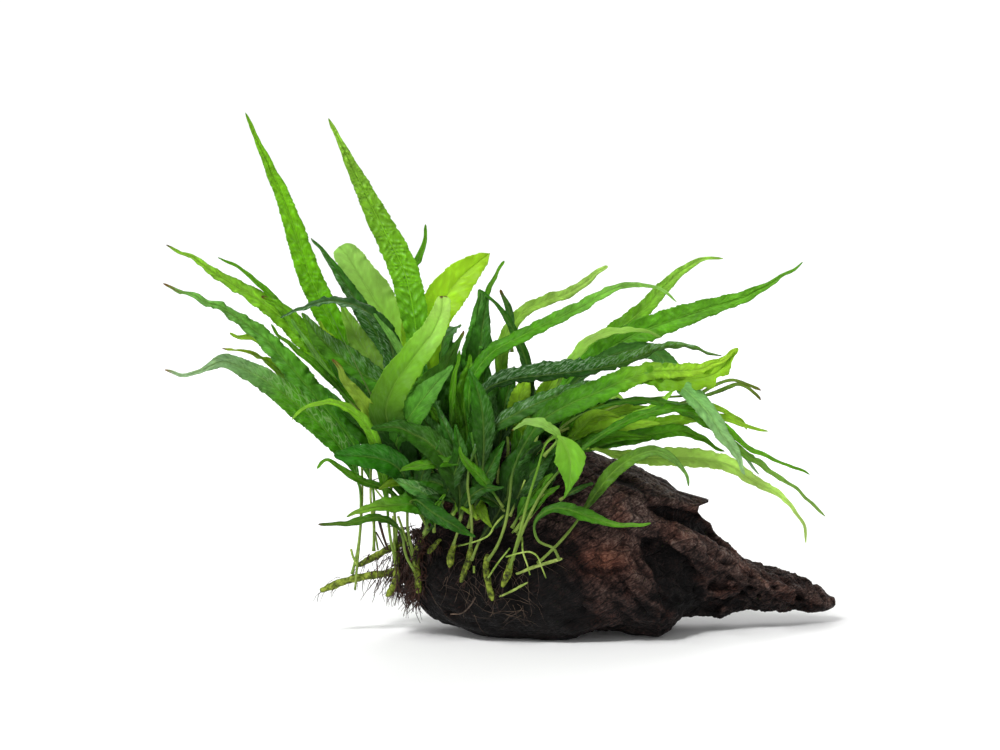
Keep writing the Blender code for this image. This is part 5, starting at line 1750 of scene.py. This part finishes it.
@dataclass
class HairRoots(Plant):
    """Hair roots: a hanging mat at the left end, tufts at each stem, threads on the wood."""

    wood: Obj  # the finished wood
    mat_hairs: int = 300
    clump_hairs: int = 620
    tuft_hairs: int = 26
    wood_threads: int = 64
    mat_length: tuple[float, float] = (5, 14)  # each pair: from and to, mm
    mat_radius: tuple[float, float] = (0.2, 0.42)
    clump_right: tuple[float, float] = (-51, -36)
    clump_up: tuple[float, float] = (21, 52)
    clump_back: tuple[float, float] = (-24, 0)
    clump_length: tuple[float, float] = (4, 10)
    clump_radius: tuple[float, float] = (0.28, 0.55)
    tuft_length: tuple[float, float] = (2, 8)
    thread_right: tuple[float, float] = (-40, 18)
    thread_up: tuple[float, float] = (8, 42)
    thread_length: tuple[float, float] = (8, 24)
    steps: int = 9  # of one hair
    stray: float = 0.14  # how much a hair turns at each step
    lies_above: float = 0.22  # how far above the wood a hair lies, mm
    seed: int = 77
    curved_root: tuple = ((-24.5, 9), (-19, 9.5), (-14.5, 13.5), (-12, 17.5))
    rng: Rng = field(init=False)
    tree: BVHTree = field(init=False)

    def __post_init__(self) -> None:
        """Start the random draws and learn the wood's faces."""
        self.rng = np.random.default_rng(self.seed)
        self.tree = BVHTree.FromPolygons([v.co for v in self.wood.data.vertices],
                                         [p.vertices for p in self.wood.data.polygons])

    def drift(self, start: Rows, way: Rows, length: float, sag: float, cling: bool) -> Rows:
        """Grow one hair.

        Args:
            start: where it starts, in metres.
            way: which way it sets out.
            length: its length in metres.
            sag: how fast it turns down, from 0 to 1.
            cling: whether it lies on the wood.

        Returns:
            Its middle line.
        """
        here, heading = start.copy(), way / np.linalg.norm(way)
        line = [here.copy()]
        for _ in range(self.steps):
            heading = heading + self.rng.normal(0, self.stray, 3) + np.array([0, 0, -sag])
            heading /= np.linalg.norm(heading)
            here = here + heading * length / self.steps
            hit, normal, _, distance = self.tree.find_nearest(Vector(here))
            hit, normal = np.array(hit), np.array(normal)
            if (here - hit) @ normal < 0 or distance < (6 if cling else 0.2) * MM:
                here = hit + normal * self.lies_above * MM
            here[2] = max(here[2], 0.25 * MM)
            line.append(here.copy())
        return np.array(line)

    def mat(self) -> Fibres:
        """Make the hanging mat: long hairs, and a clump of short ones inside it.

        Returns:
            Its fibres.
        """
        rng, fibres = self.rng, Fibres()
        for _ in range(self.mat_hairs):
            right = -38 - min(abs(rng.normal(0, 10)), 28)
            out = -38 - right
            up = rng.uniform(15 + 0.4 * out, 38 + 0.1 * out)
            start = np.array(seen(right, up, rng.normal(-6, 6)))
            way = np.array([rng.normal(-0.5, 0.6), rng.normal(0, 0.4), -1.0])
            line = self.drift(start, way, rng.uniform(*self.mat_length) * MM, 0.08, False)
            fibres.add(line, rng.uniform(*self.mat_radius) * MM, 0.12 * MM)
        for _ in range(self.clump_hairs):
            right = rng.uniform(*self.clump_right)
            back = rng.uniform(*self.clump_back) + 20 * np.clip((-44 - right) / 6, 0, 1)
            start = np.array(seen(right, rng.uniform(*self.clump_up), back))
            line = self.drift(start, rng.normal(0, 1, 3) + np.array([0, 0, -0.5]),
                              rng.uniform(*self.clump_length) * MM, 0.1, False)
            fibres.add(line, rng.uniform(*self.clump_radius) * MM, 0.15 * MM)
        return fibres

    def tufts(self) -> Fibres:
        """Make the tufts that grow from the stems.

        Returns:
            Their fibres.
        """
        rng, fibres = self.rng, Fibres()
        for name in sorted(n for n, slot in self.slots.items() if slot == "rhizome"):
            places = points_of(self.nodes[name])
            middle = places.mean(axis=0)
            for _ in range(self.tuft_hairs):
                start = places[rng.integers(len(places))]
                way = (start - middle) * 0.3 / MM + rng.normal(0, 1.0, 3) + np.array([0, -0.3, -1.2])
                line = self.drift(start, way, rng.uniform(*self.tuft_length) * MM, 0.2,
                                  rng.random() < 0.6)
                fibres.add(line, 0.17 * MM, 0.07 * MM)
        return fibres

    def on_wood(self, right: float, up: float) -> Rows | None:
        """Find the place of the wood that is seen at a place of the picture.

        Args:
            right: millimetres right of the origin as seen.
            up: millimetres above the origin as seen.

        Returns:
            The place, a little above the wood, or nothing where no wood is seen.
        """
        hit, normal, _, _ = self.tree.ray_cast(EYE, (seen(right, up, 0) - EYE).normalized())
        return None if hit is None else np.array(hit + normal * 0.25 * MM)

    def threads(self) -> Fibres:
        """Make the threads that lie on the wood.

        Returns:
            Their fibres.
        """
        rng, fibres = self.rng, Fibres()
        for _ in range(self.wood_threads):
            place = self.on_wood(rng.uniform(*self.thread_right), rng.uniform(*self.thread_up))
            if place is None:
                continue
            way = np.array([rng.normal(0.2, 0.8), 0.0, rng.normal(-0.7, 0.6)])
            line = self.drift(place, way, rng.uniform(*self.thread_length) * MM, 0.08, True)
            fibres.add(line, 0.11 * MM, 0.05 * MM)
        places = np.array([self.on_wood(*place) for place in self.curved_root])
        fibres.add(smooth_line(places, 6), 0.4 * MM, 0.3 * MM)
        return fibres

    def build(self) -> None:
        """Make the three kinds of hair."""
        dress(self.mat().build("root_mat_hairs"), Finish.ROOT, "roots", "hair_roots")
        dress(self.tufts().build("root_tufts"), Finish.ROOT, "roots")
        dress(self.threads().build("root_threads_on_wood"), Finish.PALE_ROOT, "roots")


@dataclass
class LooseStalks(Plant):
    """Bare and broken stalks in front: routes of (right, up, back) in millimetres, and radius."""

    green: tuple = (
        (0.7, ((-74.5, 41.5, -7), (-73.4, 37.5, -8), (-71.4, 33, -9.5))),
        (0.55, ((3, 37.5, -46), (10, 39.5, -49), (15, 40, -51), (18.5, 38, -52), (21, 32, -52),
            (23, 27, -51))),
        (0.55, ((11, 47.5, -44), (11.5, 40, -49), (13.5, 34, -51), (15, 28.5, -51))),
        (0.6, ((3, 59.5, -42), (-2.5, 53.5, -46), (-5.5, 48.5, -47), (-11.5, 45.5, -46), (-21, 43, -42))),
        (0.55, ((5, 42, -45), (-1, 34.5, -47), (-6, 27, -46))),
        (0.6, ((8.5, 48.5, -45), (15, 57, -47), (21, 64.5, -46))),
        (0.6, ((6, 49.5, -45), (22, 69, -47))),
        (0.55, ((6, 60, -42), (12.5, 76, -46))),
        (0.8, ((-13, 33, -36), (-13, 29.5, -37))),
        (0.75, ((-69, 84, -14), (-69, 62.5, -12), (-72.5, 21, -8))),
        (0.75, ((-64.5, 84, -14), (-64.5, 63.5, -12), (-61, 41, -8))),
        (0.6, ((-63, 74, -14), (-62.5, 72, -14), (-57, 65, -14))),
        (0.75, ((-53.5, 58, -14), (-52.5, 42, -13), (-51.5, 28.5, -10))),
        (0.75, ((-51, 58, -16), (-46, 44, -18), (-42.5, 33.5, -20))),
    )
    dead: tuple = (
        (0.9, ((-60.5, 56, -8), (-58.5, 48.5, -9), (-56, 41, -9))),
        (0.3, ((-63.5, 76, -16), (-55, 78, -18), (-54, 66, -16))),
        (0.5, ((-62, 50, -8), (-57, 41, -8))),
    )

    def build(self) -> None:
        """Make both kinds."""
        for name, finish, slot, group in (
                ("loose_green_stalks", Finish.STALK, "stalk_pale", self.green),
                ("dead_stalks", Finish.ROOT, "roots", self.dead)):
            fibres = Fibres()
            for radius, route in group:
                fibres.add(seen_line(route, 6), radius * MM, radius * 0.8 * MM)
            dress(fibres.build(name), finish, slot)


@dataclass
class Studio:
    """The pale floor, the soft lights and the camera at the photograph's place."""

    floor_size: float = 200.0
    sky_low: float = 1.0  # brightness near the horizon
    sky_high: float = 0.42  # brightness overhead
    sun_width: float = math.radians(14.0)

    def floor(self) -> None:
        """Lay the floor."""
        deselect()
        bpy.ops.mesh.primitive_plane_add(size=self.floor_size)
        floor = bpy.context.active_object
        floor.name = "studio_floor"
        material, tree, shader = new_material("studio_paper")
        feed(tree, shader, {"Base Color": (0.95, 0.95, 0.95, 1.0), "Roughness": 0.9,
                            "Specular IOR Level": 0.1})
        floor.data.materials.append(material)

    def air(self) -> bpy.types.World:
        """Make the light of the room: white near the horizon, softer overhead.

        Returns:
            The world.
        """
        world = bpy.data.worlds.new("studio_air")
        world.use_nodes = True
        tree = world.node_tree
        way = add_node(tree, "TexCoord").outputs["Generated"]
        rise = add_node(tree, "SeparateXYZ", (way,)).outputs[2]
        glow = add_node(tree, "MapRange", (rise, 0.15, 0.5, self.sky_low, self.sky_high))
        feed(tree, tree.nodes["Background"], {"Strength": glow, "Color": (1.0, 1.0, 1.0, 1.0)})
        return world

    def lamp(self, name: str, kind: str, place: Place, power: float) -> bpy.types.Light:
        """Hang a light that points at the plant.

        Args:
            name: its name.
            kind: "SUN" or "AREA".
            place: where it hangs, in metres.
            power: its strength, or its power in watts.

        Returns:
            The light.
        """
        data = bpy.data.lights.new(name, kind)
        data.energy = power
        lamp = new_object(name, data)
        lamp.location = place
        lamp.rotation_euler = (AIM - Vector(place)).to_track_quat("-Z", "Y").to_euler()
        return data

    def build(self) -> None:
        """Set up the studio."""
        scene = bpy.context.scene
        self.floor()
        scene.world = self.air()
        self.lamp("key", "SUN", (-0.8, -1.0, 1.75), 2.6).angle = self.sun_width
        softbox = self.lamp("behind", "AREA", (0.3, 1.1, 1.2), 9.0)
        softbox.shape = "DISK"
        softbox.size = 1.0
        data = bpy.data.cameras.new("photo_view")
        data.sensor_width = SENSOR
        data.lens = SENSOR * EYE_DISTANCE / VIEW_WIDTH
        camera = new_object("photo_view", data)
        camera.location = EYE
        camera.rotation_euler = (math.pi / 2 - EYE_TILT, 0.0, 0.0)
        scene.camera = camera
        scene.view_settings.view_transform = "Standard"


def main() -> None:
    """Dress the frame and set the studio around it."""
    logging.basicConfig(level=logging.INFO, format="%(message)s")
    slots = {part["node"]: part["material_slot"] for part in frame["record"]["subparts"]}
    plant = (frame["nodes"], slots)
    Studio().build()
    wood = Driftwood(*plant).build()
    Rhizomes(*plant).build()
    HairRoots(*plant, wood).build()
    LooseStalks(*plant).build()
    Fern(*plant).build()
    deselect()


if __name__ == "__main__":
    main()
